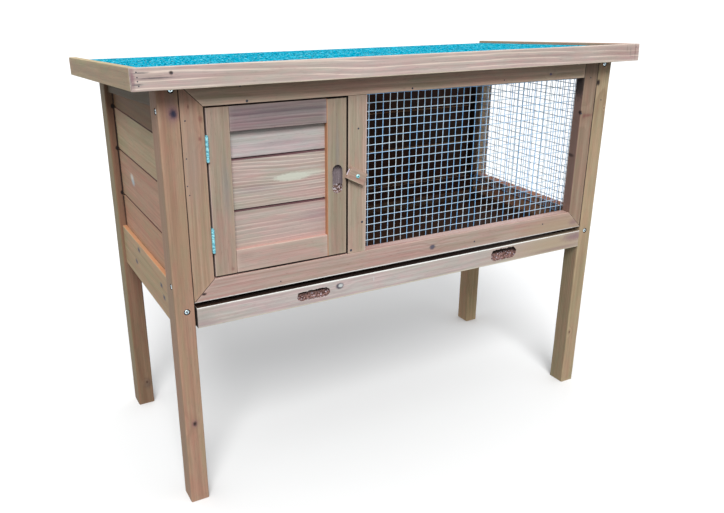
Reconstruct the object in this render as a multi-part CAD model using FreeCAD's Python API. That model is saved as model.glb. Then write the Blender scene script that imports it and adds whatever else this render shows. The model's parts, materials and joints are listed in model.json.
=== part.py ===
import FreeCAD, Part
import math
import os

# Wooden rabbit hutch on four legs: a sleeping box with a hinged door on the
# left, a wired run on the right, a pull-out tray below and a felted lean-to
# roof. Millimetres, +Z up, front towards -Y. Sizes here are about the middle
# of the legs' footprint; the export moves all of it along Y, so that the
# origin lies on the ground under the middle of the roof's outline.

V = FreeCAD.Vector
LEFT, RIGHT = -1, 1
FRONT, REAR = -1, 1

# Driving sizes: the three overall sizes of the object
LEG_SPAN_X = 840.0
LEG_SPAN_Y = 375.0
HEIGHT = 700.0

# Legs
LEG_X = 30.0
LEG_Y = 36.0
LEG_EDGE = 2.0

# Roof: width, overhangs past the legs, and fall from front to back
ROOF_WIDTH = 912.0
ROOF_FRONT_OVERHANG = 27.5
ROOF_REAR_OVERHANG = 53.5
ROOF_FALL = 32.0
EDGING_THICK = 12.0
EDGING_DEEP = 30.0
EDGING_EDGE = 1.0
DECK_BELOW_EDGING = 7.5
DECK_THICK = 9.0
FELT_THICK = 2.5

# Side and back rails, and the boards between them
RAIL_THICK = 24.0
RAIL_SETBACK = 6.0
LOW_RAIL_BOTTOM = 306.0
LOW_RAIL_TOP = 378.0
TOP_RAIL_DEEP = 40.4
BACK_RAIL_UNDER = 616.0
BOARD_THICK = 9.0
BOARD_SETBACK = 13.0
BOARD_BEVEL = 2.0
LEFT_BOARD_JOINTS = (439.5, 520.5, 593.5)
BACK_BOARD_JOINTS = (457.0, 537.0)
BATTEN = 15.0
BACK_BATTEN = 14.0

# Front frame
FRAME_SETBACK = 0.5
FRAME_THICK = 20.0
FRAME_MEMBER = 33.5
FRAME_BOTTOM = 351.5
FRAME_TOP = 674.0
MULLION_X = (-131.0, -97.0)
WOOD_EDGE = 0.8

# Door
DOOR_X = (-354.0, -133.0)
DOOR_Z = (388.0, 638.5)
DOOR_THICK = 19.0
DOOR_LEFT_STILE = 34.0
DOOR_RIGHT_STILE = 34.0
DOOR_RAIL = 36.3
DOOR_BOARD_SETBACK = 8.0
DOOR_BOARD_JOINTS = (483.7, 561.3)
GROOVE = 8.0
FINGER_X = -149.2
FINGER_Z = 513.3
FINGER_WIDE = 17.0
FINGER_HIGH = 45.0
FINGER_DEEP = 8.0

# Hinges: two butt hinges with their pins ahead of the frame's face
HINGE_CENTRES_Z = (445.4, 581.8)
HINGE_LONG = 37.0
HINGE_AXIS_X = -355.25
HINGE_AXIS_AHEAD = 2.3
KNUCKLE_R = 2.25
KNUCKLES = 5
KNUCKLE_GAP = 0.3
PIN_R = 1.0
PIN_CLEARANCE = 0.05
PIN_HEAD_R = 1.7
PIN_HEAD_LONG = 0.6
LEAF_THICK = 0.9
LEAF_REACH = 16.0
LEAF_CLEAR = 0.6
LEAF_PAST_PIN = 0.3
HINGE_SCREW_APART = 22.0
HINGE_SCREW_BACK = 9.0
HINGE_SCREW_HEAD_R = 2.6
HINGE_SCREW_R = 1.4
HINGE_SCREW_HEAD_DEEP = 1.2
HINGE_SCREW_LONG = 15.0
HINGE_SCREW_POINT = 2.0

# Wooden turn-button on the mullion, its four corners measured from the pivot
BUTTON_X = -117.5
BUTTON_Z = 516.0
BUTTON_CORNERS = ((-20.0, -1.2), (-9.6, 17.1), (18.2, 1.2), (10.1, -16.9))
BUTTON_THICK = 8.0
BUTTON_GAP = 0.5
BUTTON_EDGE = 1.5
PIVOT_R = 1.75
PIVOT_HEAD_R = 3.2
PIVOT_HEAD_HIGH = 1.6
PIVOT_CROWN_R = 1.92
PIVOT_RIM_HIGH = 0.64
PIVOT_HEAD_GAP = 0.05
PIVOT_CROSS_LONG = 3.0
PIVOT_CROSS_DEEP = 1.2
PIVOT_INTO_WOOD = 17.0
BUTTON_STAPLE_BACK = 4.0

# Phillips screws that hold rails and frame to the legs
SCREW_HEAD_R = 4.0
SCREW_R = 1.9
SCREW_HEAD_DEEP = 2.6
SCREW_SUNK = 0.5
SCREW_RIM = 0.2
SCREW_LONG = 48.0
SCREW_POINT = 4.0
CROSS_LONG = 4.6
CROSS_WIDE = 0.9
CROSS_DEEP = 1.6
FRONT_LEFT_SCREWS = ((-402.0, 340.2), (-399.6, 666.1))
FRONT_RIGHT_SCREWS = ((403.9, 341.2), (403.5, 663.3))
REAR_SCREWS_Z = (332.0, 646.0)
SIDE_SCREWS_Z = (381.0, 637.0)

# Wire nets: the coarse net holds the place of a finer one
WIRE = 1.2
WIRE_WIDE = 1.6
FRONT_NET_X = (-108.4, 366.8)
FRONT_NET_Z = (367.9, 650.4)
FRONT_NET_GAPS = (18, 10)
RIGHT_NET_Y = (-160.8, 156.0)
RIGHT_NET_Z = (365.5, 648.0)
RIGHT_NET_GAPS = (12, 10)
STAPLE_CROWN = 10.0
STAPLE_WIRE = 1.0
STAPLE_LEG = 7.0
STAPLE_EVERY = 3

# Partition between the sleeping box and the run, with its pop hole
PARTITION_X = (-124.0, -115.0)
PARTITION_BOTTOM = 346.0
POP_HOLE_Y = (-60.0, 90.0)
POP_HOLE_SILL = 372.0
POP_HOLE_TOP = 560.0
STOP_BATTEN_X = (-141.0, -124.0)

# Tray and its runners
TRAY_X = (-387.5, 389.0)
TRAY_Z = (310.3, 343.5)
TRAY_FRONT_THICK = 15.0
TRAY_FRONT_AHEAD = 1.2
TRAY_BASE_Z = (321.0, 325.0)
TRAY_SIDE_OUT = 386.0
TRAY_RIM_THICK = 9.0
TRAY_RIM_TOP = 343.0
TRAY_BACK = 156.0
TRAY_FINGER_DEEP = 8.0
TRAY_FINGERS = ((-193.7, 327.3, 58.0, 14.8), (198.3, 328.2, 59.0, 21.0))
RUNNER_Z = (307.0, 320.5)
RUNNER_WIDE = 18.0
RUNNER_FRONT = -171.0

# Nails: places on the roof's front edging, and over the side rails
NAIL_R = 0.9
FRONT_NAIL_LONG = 30.0
FRONT_NAILS = ((-449.0, 5.5), (-448.5, 12.0), (-448.5, 17.0), (-447.5, 23.0), (-403.4, 9.0), (447.4, 6.0))
DECK_NAIL_LONG = 32.0
DECK_NAILS_D = (90.0, 210.0, 330.0)

# Cutting shapes reach this far past the face they open
PAST = 1.0
# How near a place counts as on a plane, and how near to 1 a direction as parallel
NEAR = 0.01
PARALLEL = 0.999

# Derived places
HALF_X = LEG_SPAN_X / 2
HALF_Y = LEG_SPAN_Y / 2
INNER_X = HALF_X - LEG_X
INNER_Y = HALF_Y - LEG_Y
ROOF_FRONT = -HALF_Y - ROOF_FRONT_OVERHANG
ROOF_REAR = HALF_Y + ROOF_REAR_OVERHANG
ROOF_TILT = math.degrees(math.atan2(ROOF_FALL, ROOF_REAR - ROOF_FRONT))
ROOF_LONG = math.hypot(ROOF_FALL, ROOF_REAR - ROOF_FRONT)
ROOF_HALF = ROOF_WIDTH / 2
DECK_UNDER = -DECK_BELOW_EDGING - DECK_THICK
ROOF_LOW_FRONT = ROOF_FRONT - EDGING_DEEP * math.sin(math.radians(ROOF_TILT))
SHIFT_Y = -(ROOF_LOW_FRONT + ROOF_REAR) / 2
RAIL_OUT = HALF_X - RAIL_SETBACK
RAIL_MID = INNER_X + RAIL_THICK / 2
BACK_RAIL_Y = (HALF_Y - RAIL_SETBACK - RAIL_THICK, HALF_Y - RAIL_SETBACK)
LEFT_BOARD_X = (-HALF_X + BOARD_SETBACK, -HALF_X + BOARD_SETBACK + BOARD_THICK)
BACK_BOARD_Y = (HALF_Y - BOARD_SETBACK - BOARD_THICK, HALF_Y - BOARD_SETBACK)
FRAME_Y = (-HALF_Y + FRAME_SETBACK, -HALF_Y + FRAME_SETBACK + FRAME_THICK)
FRAME_MID_Y = (FRAME_Y[0] + FRAME_Y[1]) / 2
OPENING_X = INNER_X - FRAME_MEMBER
OPENING_Z = (FRAME_BOTTOM + FRAME_MEMBER, FRAME_TOP - FRAME_MEMBER)
DOOR_Y = (FRAME_Y[0], FRAME_Y[0] + DOOR_THICK)
DOOR_INNER_X = (DOOR_X[0] + DOOR_LEFT_STILE, DOOR_X[1] - DOOR_RIGHT_STILE)
DOOR_INNER_Z = (DOOR_Z[0] + DOOR_RAIL, DOOR_Z[1] - DOOR_RAIL)
DOOR_BOARD_Y = (DOOR_Y[0] + DOOR_BOARD_SETBACK, DOOR_Y[0] + DOOR_BOARD_SETBACK + BOARD_THICK)
HINGE_AXIS_Y = FRAME_Y[0] - HINGE_AXIS_AHEAD
BUTTON_Y = (FRAME_Y[0] - BUTTON_GAP - BUTTON_THICK, FRAME_Y[0] - BUTTON_GAP)
TRAY_FRONT_Y = (-HALF_Y - TRAY_FRONT_AHEAD, -HALF_Y - TRAY_FRONT_AHEAD + TRAY_FRONT_THICK)
RIGHT_NET_X = (INNER_X - WIRE, INNER_X)
FRONT_NET_Y = (FRAME_Y[1], FRAME_Y[1] + WIRE)


# Helpers

def block(x, y, z):
    return Part.makeBox(x[1] - x[0], y[1] - y[0], z[1] - z[0], V(x[0], y[0], z[0]))


def span(side, near, far):
    return tuple(sorted((side * near, side * far)))


def eased(shape, radius, along):
    picked = [e for e in shape.Edges if abs(e.Curve.Direction.dot(along)) > PARALLEL]
    return shape.makeFillet(radius, picked)


def plank(x, y, z, along, edge=WOOD_EDGE):
    return eased(block(x, y, z), edge, along)


def on_roof(shape):
    # From roof terms (x, distance back, height) to the body's terms
    placed = shape.copy()
    placed.rotate(V(0, 0, 0), V(1, 0, 0), -ROOF_TILT)
    placed.translate(V(0, ROOF_FRONT, HEIGHT))
    return placed


def roof_space(low, high):
    # The whole space between two heights in roof terms
    far = 2 * HEIGHT
    return on_roof(block((-far, far), (-far, far), (low, high)))


def under_roof(shape):
    return shape.cut(roof_space(DECK_UNDER, HEIGHT))


def turned(profile):
    # Solid of revolution about Z from (radius, height) points
    points = [V(r, 0, z) for r, z in profile]
    face = Part.Face(Part.makePolygon(points + [points[0]]))
    return face.revolve(V(0, 0, 0), V(0, 0, 1), 360)


def driven(shape, place, direction):
    # A fastener drawn pointing down -Z is turned to point along direction
    placed = shape.copy()
    placed.Placement = FreeCAD.Placement(place, FreeCAD.Rotation(V(0, 0, -1), direction))
    return placed


def slot(centre, long, wide, deep, upright):
    # Round-ended routed slot in a front face, drawn in X and Z, cut towards +Y
    half = long / 2 - wide / 2
    way = V(0, 0, half) if upright else V(half, 0, 0)
    ends = [centre - way, centre + way]
    rounds = [Part.makeCylinder(wide / 2, deep, end, V(0, 1, 0)) for end in ends]
    if upright:
        low = centre - V(wide / 2, 0, half)
        middle = Part.makeBox(wide, deep, 2 * half, low)
    else:
        low = centre - V(half, 0, wide / 2)
        middle = Part.makeBox(2 * half, deep, wide, low)
    return middle.fuse(rounds).removeSplitter()


# Fasteners

def screw_profile():
    top = -SCREW_SUNK
    return [
        (0, top),
        (SCREW_HEAD_R, top),
        (SCREW_R, top - SCREW_HEAD_DEEP),
        (SCREW_R, top - SCREW_LONG + SCREW_POINT),
        (0, top - SCREW_LONG),
    ]


def frame_screw_places():
    places = []
    for x, z in FRONT_LEFT_SCREWS + FRONT_RIGHT_SCREWS:
        places.append((V(x, -HALF_Y, z), V(0, 1, 0)))
    for side in (LEFT, RIGHT):
        for z in REAR_SCREWS_Z:
            places.append((V(side * RAIL_MID, HALF_Y, z), V(0, -1, 0)))
        for z in SIDE_SCREWS_Z:
            places.append((V(side * HALF_X, FRAME_MID_Y, z), V(-side, 0, 0)))
    return places


def frame_screws():
    screw = turned(screw_profile())
    floor = -SCREW_SUNK - CROSS_DEEP
    for long, wide in ((CROSS_LONG, CROSS_WIDE), (CROSS_WIDE, CROSS_LONG)):
        arm = Part.makeBox(long, wide, CROSS_DEEP + PAST, V(-long / 2, -wide / 2, floor))
        screw = screw.cut(arm)
    return Part.makeCompound([driven(screw, *place) for place in frame_screw_places()])


def screw_holes():
    rim = Part.makeCylinder(SCREW_HEAD_R + SCREW_RIM, SCREW_SUNK + PAST, V(0, 0, -SCREW_SUNK))
    hole = turned(screw_profile()).fuse(rim)
    return Part.makeCompound([driven(hole, *place) for place in frame_screw_places()])


def drilled(shape):
    return shape.cut(screw_holes())


def hinge_screw():
    return turned([
        (0, 0),
        (HINGE_SCREW_HEAD_R, 0),
        (HINGE_SCREW_R, -HINGE_SCREW_HEAD_DEEP),
        (HINGE_SCREW_R, -HINGE_SCREW_LONG + HINGE_SCREW_POINT),
        (0, -HINGE_SCREW_LONG),
    ])


def hinge_screws(side):
    # side is the way the screws point: left into the frame, right into the door
    x = HINGE_AXIS_X + side * (leaf_offset() - LEAF_THICK / 2)
    y = FRAME_Y[0] + HINGE_SCREW_BACK
    screws = []
    for centre in HINGE_CENTRES_Z:
        for z in (centre - HINGE_SCREW_APART / 2, centre + HINGE_SCREW_APART / 2):
            screws.append(driven(hinge_screw(), V(x, y, z), V(side, 0, 0)))
    return Part.makeCompound(screws)


def staple(place, across, into):
    half = STAPLE_CROWN / 2
    thick = STAPLE_WIRE
    crown = Part.makeBox(STAPLE_CROWN, thick, thick, V(-half, -thick / 2, 0))
    leg_a = Part.makeBox(thick, thick, STAPLE_LEG, V(-half, -thick / 2, -STAPLE_LEG))
    leg_b = Part.makeBox(thick, thick, STAPLE_LEG, V(half - thick, -thick / 2, -STAPLE_LEG))
    shape = crown.fuse([leg_a, leg_b]).removeSplitter()
    out = into.negative()
    side = out.cross(across)
    turn = FreeCAD.Matrix(
        across.x, side.x, out.x, place.x,
        across.y, side.y, out.y, place.y,
        across.z, side.z, out.z, place.z,
        0, 0, 0, 1)
    return shape.transformGeometry(turn)


def gap_middles(ends, gaps):
    # The middle of every few gaps of a net, where a staple's legs miss its wires
    step = (ends[1] - ends[0]) / gaps
    return [ends[0] + (i + 0.5) * step for i in range(1, gaps, STAPLE_EVERY)]


def mesh_staples():
    staples = []
    back = V(0, -1, 0)
    for x in gap_middles(FRONT_NET_X, FRONT_NET_GAPS[0]):
        for z in FRONT_NET_Z:
            staples.append(staple(V(x, FRONT_NET_Y[1], z), V(0, 0, 1), back))
    for z in gap_middles(FRONT_NET_Z, FRONT_NET_GAPS[1]):
        for x in FRONT_NET_X:
            staples.append(staple(V(x, FRONT_NET_Y[1], z), V(1, 0, 0), back))
    out = V(1, 0, 0)
    for y in gap_middles(RIGHT_NET_Y, RIGHT_NET_GAPS[0]):
        for z in RIGHT_NET_Z:
            staples.append(staple(V(RIGHT_NET_X[0], y, z), V(0, 0, 1), out))
    for z in gap_middles(RIGHT_NET_Z, RIGHT_NET_GAPS[1]):
        staples.append(staple(V(RIGHT_NET_X[0], RIGHT_NET_Y[0], z), V(0, 1, 0), out))
    return Part.makeCompound(staples)


# Legs and rails

def leg(side, end):
    x = span(side, INNER_X, HALF_X)
    y = span(end, INNER_Y, HALF_Y)
    post = eased(block(x, y, (0, HEIGHT)), LEG_EDGE, V(0, 0, 1))
    return drilled(under_roof(post))


def side_low_rail(side):
    x = span(side, INNER_X, RAIL_OUT)
    return drilled(plank(x, (-INNER_Y, INNER_Y), (LOW_RAIL_BOTTOM, LOW_RAIL_TOP), V(0, 1, 0)))


def side_top_rail(side):
    x = span(side, INNER_X, RAIL_OUT)
    slab = on_roof(plank(x, (0, ROOF_LONG), (DECK_UNDER - TOP_RAIL_DEEP, DECK_UNDER), V(0, 1, 0)))
    return drilled(slab.common(block(x, (-INNER_Y, INNER_Y), (0, HEIGHT))))


def back_low_rail():
    z = (LOW_RAIL_BOTTOM, LOW_RAIL_TOP)
    return drilled(plank((-INNER_X, INNER_X), BACK_RAIL_Y, z, V(1, 0, 0)))


def back_top_rail():
    rail = plank((-INNER_X, INNER_X), BACK_RAIL_Y, (BACK_RAIL_UNDER, HEIGHT), V(1, 0, 0))
    return drilled(under_roof(rail))


# Walls

def board_heights(joints, low, high):
    levels = (low,) + joints + (high,)
    return list(zip(levels[:-1], levels[1:]))


def bevelled(board, joints, face, long_way):
    # A V groove along each joint: bevels on the edges that lie on the outer face
    def on_joint(edge):
        middle = edge.CenterOfMass
        at_joint = any(abs(middle.z - z) < NEAR for z in joints)
        return at_joint and abs(middle.dot(face[0]) - face[1]) < NEAR
    picked = [e for e in board.Edges if abs(e.Curve.Direction.dot(long_way)) > PARALLEL and on_joint(e)]
    return board.makeChamfer(BOARD_BEVEL, picked)


def left_board(index):
    z = board_heights(LEFT_BOARD_JOINTS, LOW_RAIL_TOP, HEIGHT)[index]
    board = block(LEFT_BOARD_X, (-INNER_Y, INNER_Y), z)
    board = bevelled(board, LEFT_BOARD_JOINTS, (V(1, 0, 0), LEFT_BOARD_X[0]), V(0, 1, 0))
    return board.cut(roof_space(DECK_UNDER - TOP_RAIL_DEEP, HEIGHT))


def back_board(index):
    z = board_heights(BACK_BOARD_JOINTS, LOW_RAIL_TOP, BACK_RAIL_UNDER)[index]
    board = block((-INNER_X, INNER_X), BACK_BOARD_Y, z)
    return bevelled(board, BACK_BOARD_JOINTS, (V(0, 1, 0), BACK_BOARD_Y[1]), V(1, 0, 0))


def wall_battens():
    battens = []
    up = V(0, 0, 1)
    low = LOW_RAIL_TOP
    left_x = (LEFT_BOARD_X[1], LEFT_BOARD_X[1] + BATTEN)
    for end in (FRONT, REAR):
        y = span(end, INNER_Y - BATTEN, INNER_Y)
        batten = plank(left_x, y, (low, HEIGHT), up)
        battens.append(batten.cut(roof_space(DECK_UNDER - TOP_RAIL_DEEP, HEIGHT)))
    back_y = (BACK_BOARD_Y[0] - BACK_BATTEN, BACK_BOARD_Y[0])
    right_edge = RIGHT_NET_X[0]
    for x in ((-INNER_X, -INNER_X + BATTEN), (right_edge - BATTEN, right_edge)):
        battens.append(plank(x, back_y, (low, BACK_RAIL_UNDER), up))
    return Part.makeCompound(battens)


def partition():
    y = (FRAME_Y[1], BACK_RAIL_Y[0])
    panel = under_roof(block(PARTITION_X, y, (PARTITION_BOTTOM, HEIGHT)))
    radius = (POP_HOLE_Y[1] - POP_HOLE_Y[0]) / 2
    middle = (POP_HOLE_Y[0] + POP_HOLE_Y[1]) / 2
    arch_z = POP_HOLE_TOP - radius
    wide = (PARTITION_X[0] - PAST, PARTITION_X[1] + PAST)
    lower = block(wide, POP_HOLE_Y, (POP_HOLE_SILL, arch_z))
    arch = Part.makeCylinder(radius, wide[1] - wide[0], V(wide[0], middle, arch_z), V(1, 0, 0))
    return panel.cut(lower.fuse(arch))


def partition_battens():
    # The front one is the door's stop too
    battens = []
    for y in ((FRAME_Y[1], FRAME_Y[1] + BATTEN), (BACK_RAIL_Y[0] - BATTEN, BACK_RAIL_Y[0])):
        batten = plank(STOP_BATTEN_X, y, (PARTITION_BOTTOM, HEIGHT), V(0, 0, 1))
        battens.append(under_roof(batten))
    return Part.makeCompound(battens)


# Front frame: mitred at three corners, but the top rail butts against the right stile

def frame_member(corners):
    # A flat outline in X and Z with the frame's thickness
    points = [V(x, FRAME_Y[0], z) for x, z in corners]
    face = Part.Face(Part.makePolygon(points + [points[0]]))
    return face.extrude(V(0, FRAME_THICK, 0))


def frame_rail(outer_z, inner_z, outer_right_x):
    return frame_member([
        (-INNER_X, outer_z),
        (outer_right_x, outer_z),
        (OPENING_X, inner_z),
        (-OPENING_X, inner_z),
    ])


def frame_stile(side):
    inner_top_z = OPENING_Z[1] if side == LEFT else FRAME_TOP
    stile = frame_member([
        (side * INNER_X, FRAME_BOTTOM),
        (side * INNER_X, FRAME_TOP),
        (side * OPENING_X, inner_top_z),
        (side * OPENING_X, OPENING_Z[0]),
    ])
    if side == LEFT:
        stile = stile.cut(hinge_screws(LEFT))
    return drilled(stile)


def front_mullion():
    mullion = block(MULLION_X, FRAME_Y, OPENING_Z)
    return mullion.cut(pivot_screw_shank(PIVOT_R))


# Nets

def net(width, height, gaps):
    # One flat face with rectangular holes, thickened, drawn in X and Y from 0
    def rectangle(x0, y0, x1, y1):
        return Part.makePolygon([V(x0, y0, 0), V(x1, y0, 0), V(x1, y1, 0), V(x0, y1, 0), V(x0, y0, 0)])
    half = WIRE_WIDE / 2
    step_x = width / gaps[0]
    step_y = height / gaps[1]
    wires = [rectangle(-half, -half, width + half, height + half)]
    for i in range(gaps[0]):
        for j in range(gaps[1]):
            x = i * step_x
            y = j * step_y
            wires.append(rectangle(x + half, y + half, x + step_x - half, y + step_y - half))
    face = Part.makeFace(wires, "Part::FaceMakerBullseye")
    return face.extrude(V(0, 0, WIRE))


def front_mesh():
    shape = net(FRONT_NET_X[1] - FRONT_NET_X[0], FRONT_NET_Z[1] - FRONT_NET_Z[0], FRONT_NET_GAPS)
    shape.rotate(V(0, 0, 0), V(1, 0, 0), 90)
    shape.translate(V(FRONT_NET_X[0], FRONT_NET_Y[1], FRONT_NET_Z[0]))
    return shape


def right_mesh():
    shape = net(RIGHT_NET_Y[1] - RIGHT_NET_Y[0], RIGHT_NET_Z[1] - RIGHT_NET_Z[0], RIGHT_NET_GAPS)
    shape.rotate(V(0, 0, 0), V(1, 1, 1), 120)
    shape.translate(V(RIGHT_NET_X[0], RIGHT_NET_Y[0], RIGHT_NET_Z[0]))
    return shape


# Roof

def roof_deck():
    half = ROOF_HALF - EDGING_THICK
    back = ROOF_LONG - FELT_THICK
    return on_roof(block((-half, half), (EDGING_THICK, back), (DECK_UNDER, -DECK_BELOW_EDGING)))


def roof_felt():
    # Lies on the deck and is turned down over its back edge
    half = ROOF_HALF - EDGING_THICK
    top = -DECK_BELOW_EDGING + FELT_THICK
    sheet = block((-half, half), (EDGING_THICK, ROOF_LONG), (-DECK_BELOW_EDGING, top))
    flap = block((-half, half), (ROOF_LONG - FELT_THICK, ROOF_LONG), (DECK_UNDER, top))
    return on_roof(sheet.fuse(flap).removeSplitter())


def roof_front_edging():
    x = (-ROOF_HALF, ROOF_HALF)
    return on_roof(plank(x, (0, EDGING_THICK), (-EDGING_DEEP, 0), V(1, 0, 0), EDGING_EDGE))


def roof_end_edging(side):
    x = span(side, ROOF_HALF - EDGING_THICK, ROOF_HALF)
    return on_roof(plank(x, (EDGING_THICK, ROOF_LONG), (-EDGING_DEEP, 0), V(0, 1, 0), EDGING_EDGE))


def roof_nails():
    nails = []
    for x, down in FRONT_NAILS:
        nails.append(Part.makeCylinder(NAIL_R, FRONT_NAIL_LONG, V(x, 0, -down), V(0, 1, 0)))
    for side in (LEFT, RIGHT):
        for d in DECK_NAILS_D:
            top = V(side * RAIL_MID, d, -DECK_BELOW_EDGING)
            nails.append(Part.makeCylinder(NAIL_R, DECK_NAIL_LONG, top, V(0, 0, -1)))
    return on_roof(Part.makeCompound(nails))


# Door

def door_stile(side):
    outer = DOOR_X[0] if side == LEFT else DOOR_X[1]
    inner = DOOR_INNER_X[0] if side == LEFT else DOOR_INNER_X[1]
    stile = plank(tuple(sorted((outer, inner))), DOOR_Y, DOOR_Z, V(0, 0, 1))
    for index in range(len(DOOR_BOARD_JOINTS) + 1):
        stile = stile.cut(door_board(index))
    if side == LEFT:
        return stile.cut(hinge_screws(RIGHT))
    centre = V(FINGER_X, DOOR_Y[0], FINGER_Z)
    return stile.cut(slot(centre, FINGER_HIGH, FINGER_WIDE, FINGER_DEEP, True))


def door_rail(low, high):
    rail = plank(DOOR_INNER_X, DOOR_Y, (low, high), V(1, 0, 0))
    for index in range(len(DOOR_BOARD_JOINTS) + 1):
        rail = rail.cut(door_board(index))
    return rail


def door_board(index):
    # The boards stand in grooves all round
    low = DOOR_INNER_Z[0] - GROOVE
    high = DOOR_INNER_Z[1] + GROOVE
    z = board_heights(DOOR_BOARD_JOINTS, low, high)[index]
    x = (DOOR_INNER_X[0] - GROOVE, DOOR_INNER_X[1] + GROOVE)
    board = block(x, DOOR_BOARD_Y, z)
    return bevelled(board, DOOR_BOARD_JOINTS, (V(0, 1, 0), DOOR_BOARD_Y[0]), V(1, 0, 0))


# Hinges

def leaf_offset():
    # From the pin's axis to the middle of a leaf
    half_gap = (DOOR_X[0] + OPENING_X) / 2
    return half_gap - LEAF_THICK / 2


def hinge_leaf(side, centre):
    # side is the side of the pin's axis that the leaf lies on
    pitch = HINGE_LONG / KNUCKLES
    low = centre - HINGE_LONG / 2
    middle_x = HINGE_AXIS_X + side * leaf_offset()
    x = (middle_x - LEAF_THICK / 2, middle_x + LEAF_THICK / 2)
    own_edge = HINGE_AXIS_Y + PIN_R + LEAF_PAST_PIN
    clear_edge = HINGE_AXIS_Y + KNUCKLE_R + LEAF_CLEAR
    pieces = [block(x, (clear_edge, FRAME_Y[0] + LEAF_REACH), (low, low + HINGE_LONG))]
    first = 0 if side == LEFT else 1
    bore = Part.makeCylinder(PIN_R + PIN_CLEARANCE, HINGE_LONG, V(HINGE_AXIS_X, HINGE_AXIS_Y, low))
    for number in range(first, KNUCKLES, 2):
        start = low + number * pitch + KNUCKLE_GAP / 2
        stop = start + pitch - KNUCKLE_GAP
        pieces.append(block(x, (own_edge, clear_edge), (start, stop)))
        pieces.append(Part.makeCylinder(KNUCKLE_R, stop - start, V(HINGE_AXIS_X, HINGE_AXIS_Y, start)))
    leaf = pieces[0].fuse(pieces[1:]).removeSplitter()
    return leaf.cut(bore).cut(hinge_screws(side))


def hinge_pins():
    pins = []
    for centre in HINGE_CENTRES_Z:
        low = centre - HINGE_LONG / 2
        foot = V(HINGE_AXIS_X, HINGE_AXIS_Y, low - PIN_HEAD_LONG)
        pin = Part.makeCylinder(PIN_R, HINGE_LONG + 2 * PIN_HEAD_LONG, foot)
        head_low = Part.makeCylinder(PIN_HEAD_R, PIN_HEAD_LONG, foot)
        head_high = Part.makeCylinder(PIN_HEAD_R, PIN_HEAD_LONG, V(HINGE_AXIS_X, HINGE_AXIS_Y, low + HINGE_LONG))
        pins.append(pin.fuse([head_low, head_high]).removeSplitter())
    return Part.makeCompound(pins)


# Turn-button

def pivot_screw_shank(radius):
    start = V(BUTTON_X, BUTTON_Y[0], BUTTON_Z)
    long = BUTTON_THICK + BUTTON_GAP + PIVOT_INTO_WOOD
    return Part.makeCylinder(radius, long, start, V(0, 1, 0))


def turn_button():
    points = [V(BUTTON_X + x, BUTTON_Y[0], BUTTON_Z + z) for x, z in BUTTON_CORNERS]
    face = Part.Face(Part.makePolygon(points + [points[0]]))
    body = eased(face.extrude(V(0, BUTTON_THICK, 0)), BUTTON_EDGE, V(0, 1, 0))
    return body.cut(pivot_screw_shank(PIVOT_R + PIN_CLEARANCE))


def turn_button_screw():
    profile = [
        (0, PIVOT_HEAD_HIGH),
        (PIVOT_CROWN_R, PIVOT_HEAD_HIGH),
        (PIVOT_HEAD_R, PIVOT_RIM_HIGH),
        (PIVOT_HEAD_R, PIVOT_HEAD_GAP),
        (PIVOT_R, PIVOT_HEAD_GAP),
        (PIVOT_R, -BUTTON_THICK - BUTTON_GAP - PIVOT_INTO_WOOD),
        (0, -BUTTON_THICK - BUTTON_GAP - PIVOT_INTO_WOOD),
    ]
    screw = driven(turned(profile), V(BUTTON_X, BUTTON_Y[0], BUTTON_Z), V(0, 1, 0))
    front = BUTTON_Y[0] - PIVOT_HEAD_HIGH
    for long, wide in ((PIVOT_CROSS_LONG, CROSS_WIDE), (CROSS_WIDE, PIVOT_CROSS_LONG)):
        corner = V(BUTTON_X - long / 2, front - PAST, BUTTON_Z - wide / 2)
        screw = screw.cut(Part.makeBox(long, PAST + PIVOT_CROSS_DEEP, wide, corner))
    return screw


def turn_button_staple():
    # Driven into the button's end, where it grips the door's edge
    low = V(BUTTON_CORNERS[0][0], 0, BUTTON_CORNERS[0][1])
    high = V(BUTTON_CORNERS[1][0], 0, BUTTON_CORNERS[1][1])
    across = (high - low).normalize()
    into = V(across.z, 0, -across.x)
    middle = (low + high) * 0.5
    place = V(BUTTON_X + middle.x, BUTTON_Y[0] + BUTTON_STAPLE_BACK, BUTTON_Z + middle.z)
    return staple(place, across, into)


# Tray

def tray_front():
    board = plank(TRAY_X, TRAY_FRONT_Y, TRAY_Z, V(1, 0, 0))
    for x, z, long, wide in TRAY_FINGERS:
        board = board.cut(slot(V(x, TRAY_FRONT_Y[0], z), long, wide, TRAY_FINGER_DEEP, False))
    return board


def tray_base():
    return block((-TRAY_SIDE_OUT, TRAY_SIDE_OUT), (TRAY_FRONT_Y[1], TRAY_BACK), TRAY_BASE_Z)


def tray_side(side):
    x = span(side, TRAY_SIDE_OUT - TRAY_RIM_THICK, TRAY_SIDE_OUT)
    y = (TRAY_FRONT_Y[1], TRAY_BACK - TRAY_RIM_THICK)
    return plank(x, y, (TRAY_BASE_Z[1], TRAY_RIM_TOP), V(0, 1, 0))


def tray_back():
    y = (TRAY_BACK - TRAY_RIM_THICK, TRAY_BACK)
    return plank((-TRAY_SIDE_OUT, TRAY_SIDE_OUT), y, (TRAY_BASE_Z[1], TRAY_RIM_TOP), V(1, 0, 0))


def tray_runner(side):
    x = span(side, INNER_X - RUNNER_WIDE, INNER_X)
    return plank(x, (RUNNER_FRONT, BACK_RAIL_Y[0]), RUNNER_Z, V(0, 1, 0))


# Export

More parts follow.
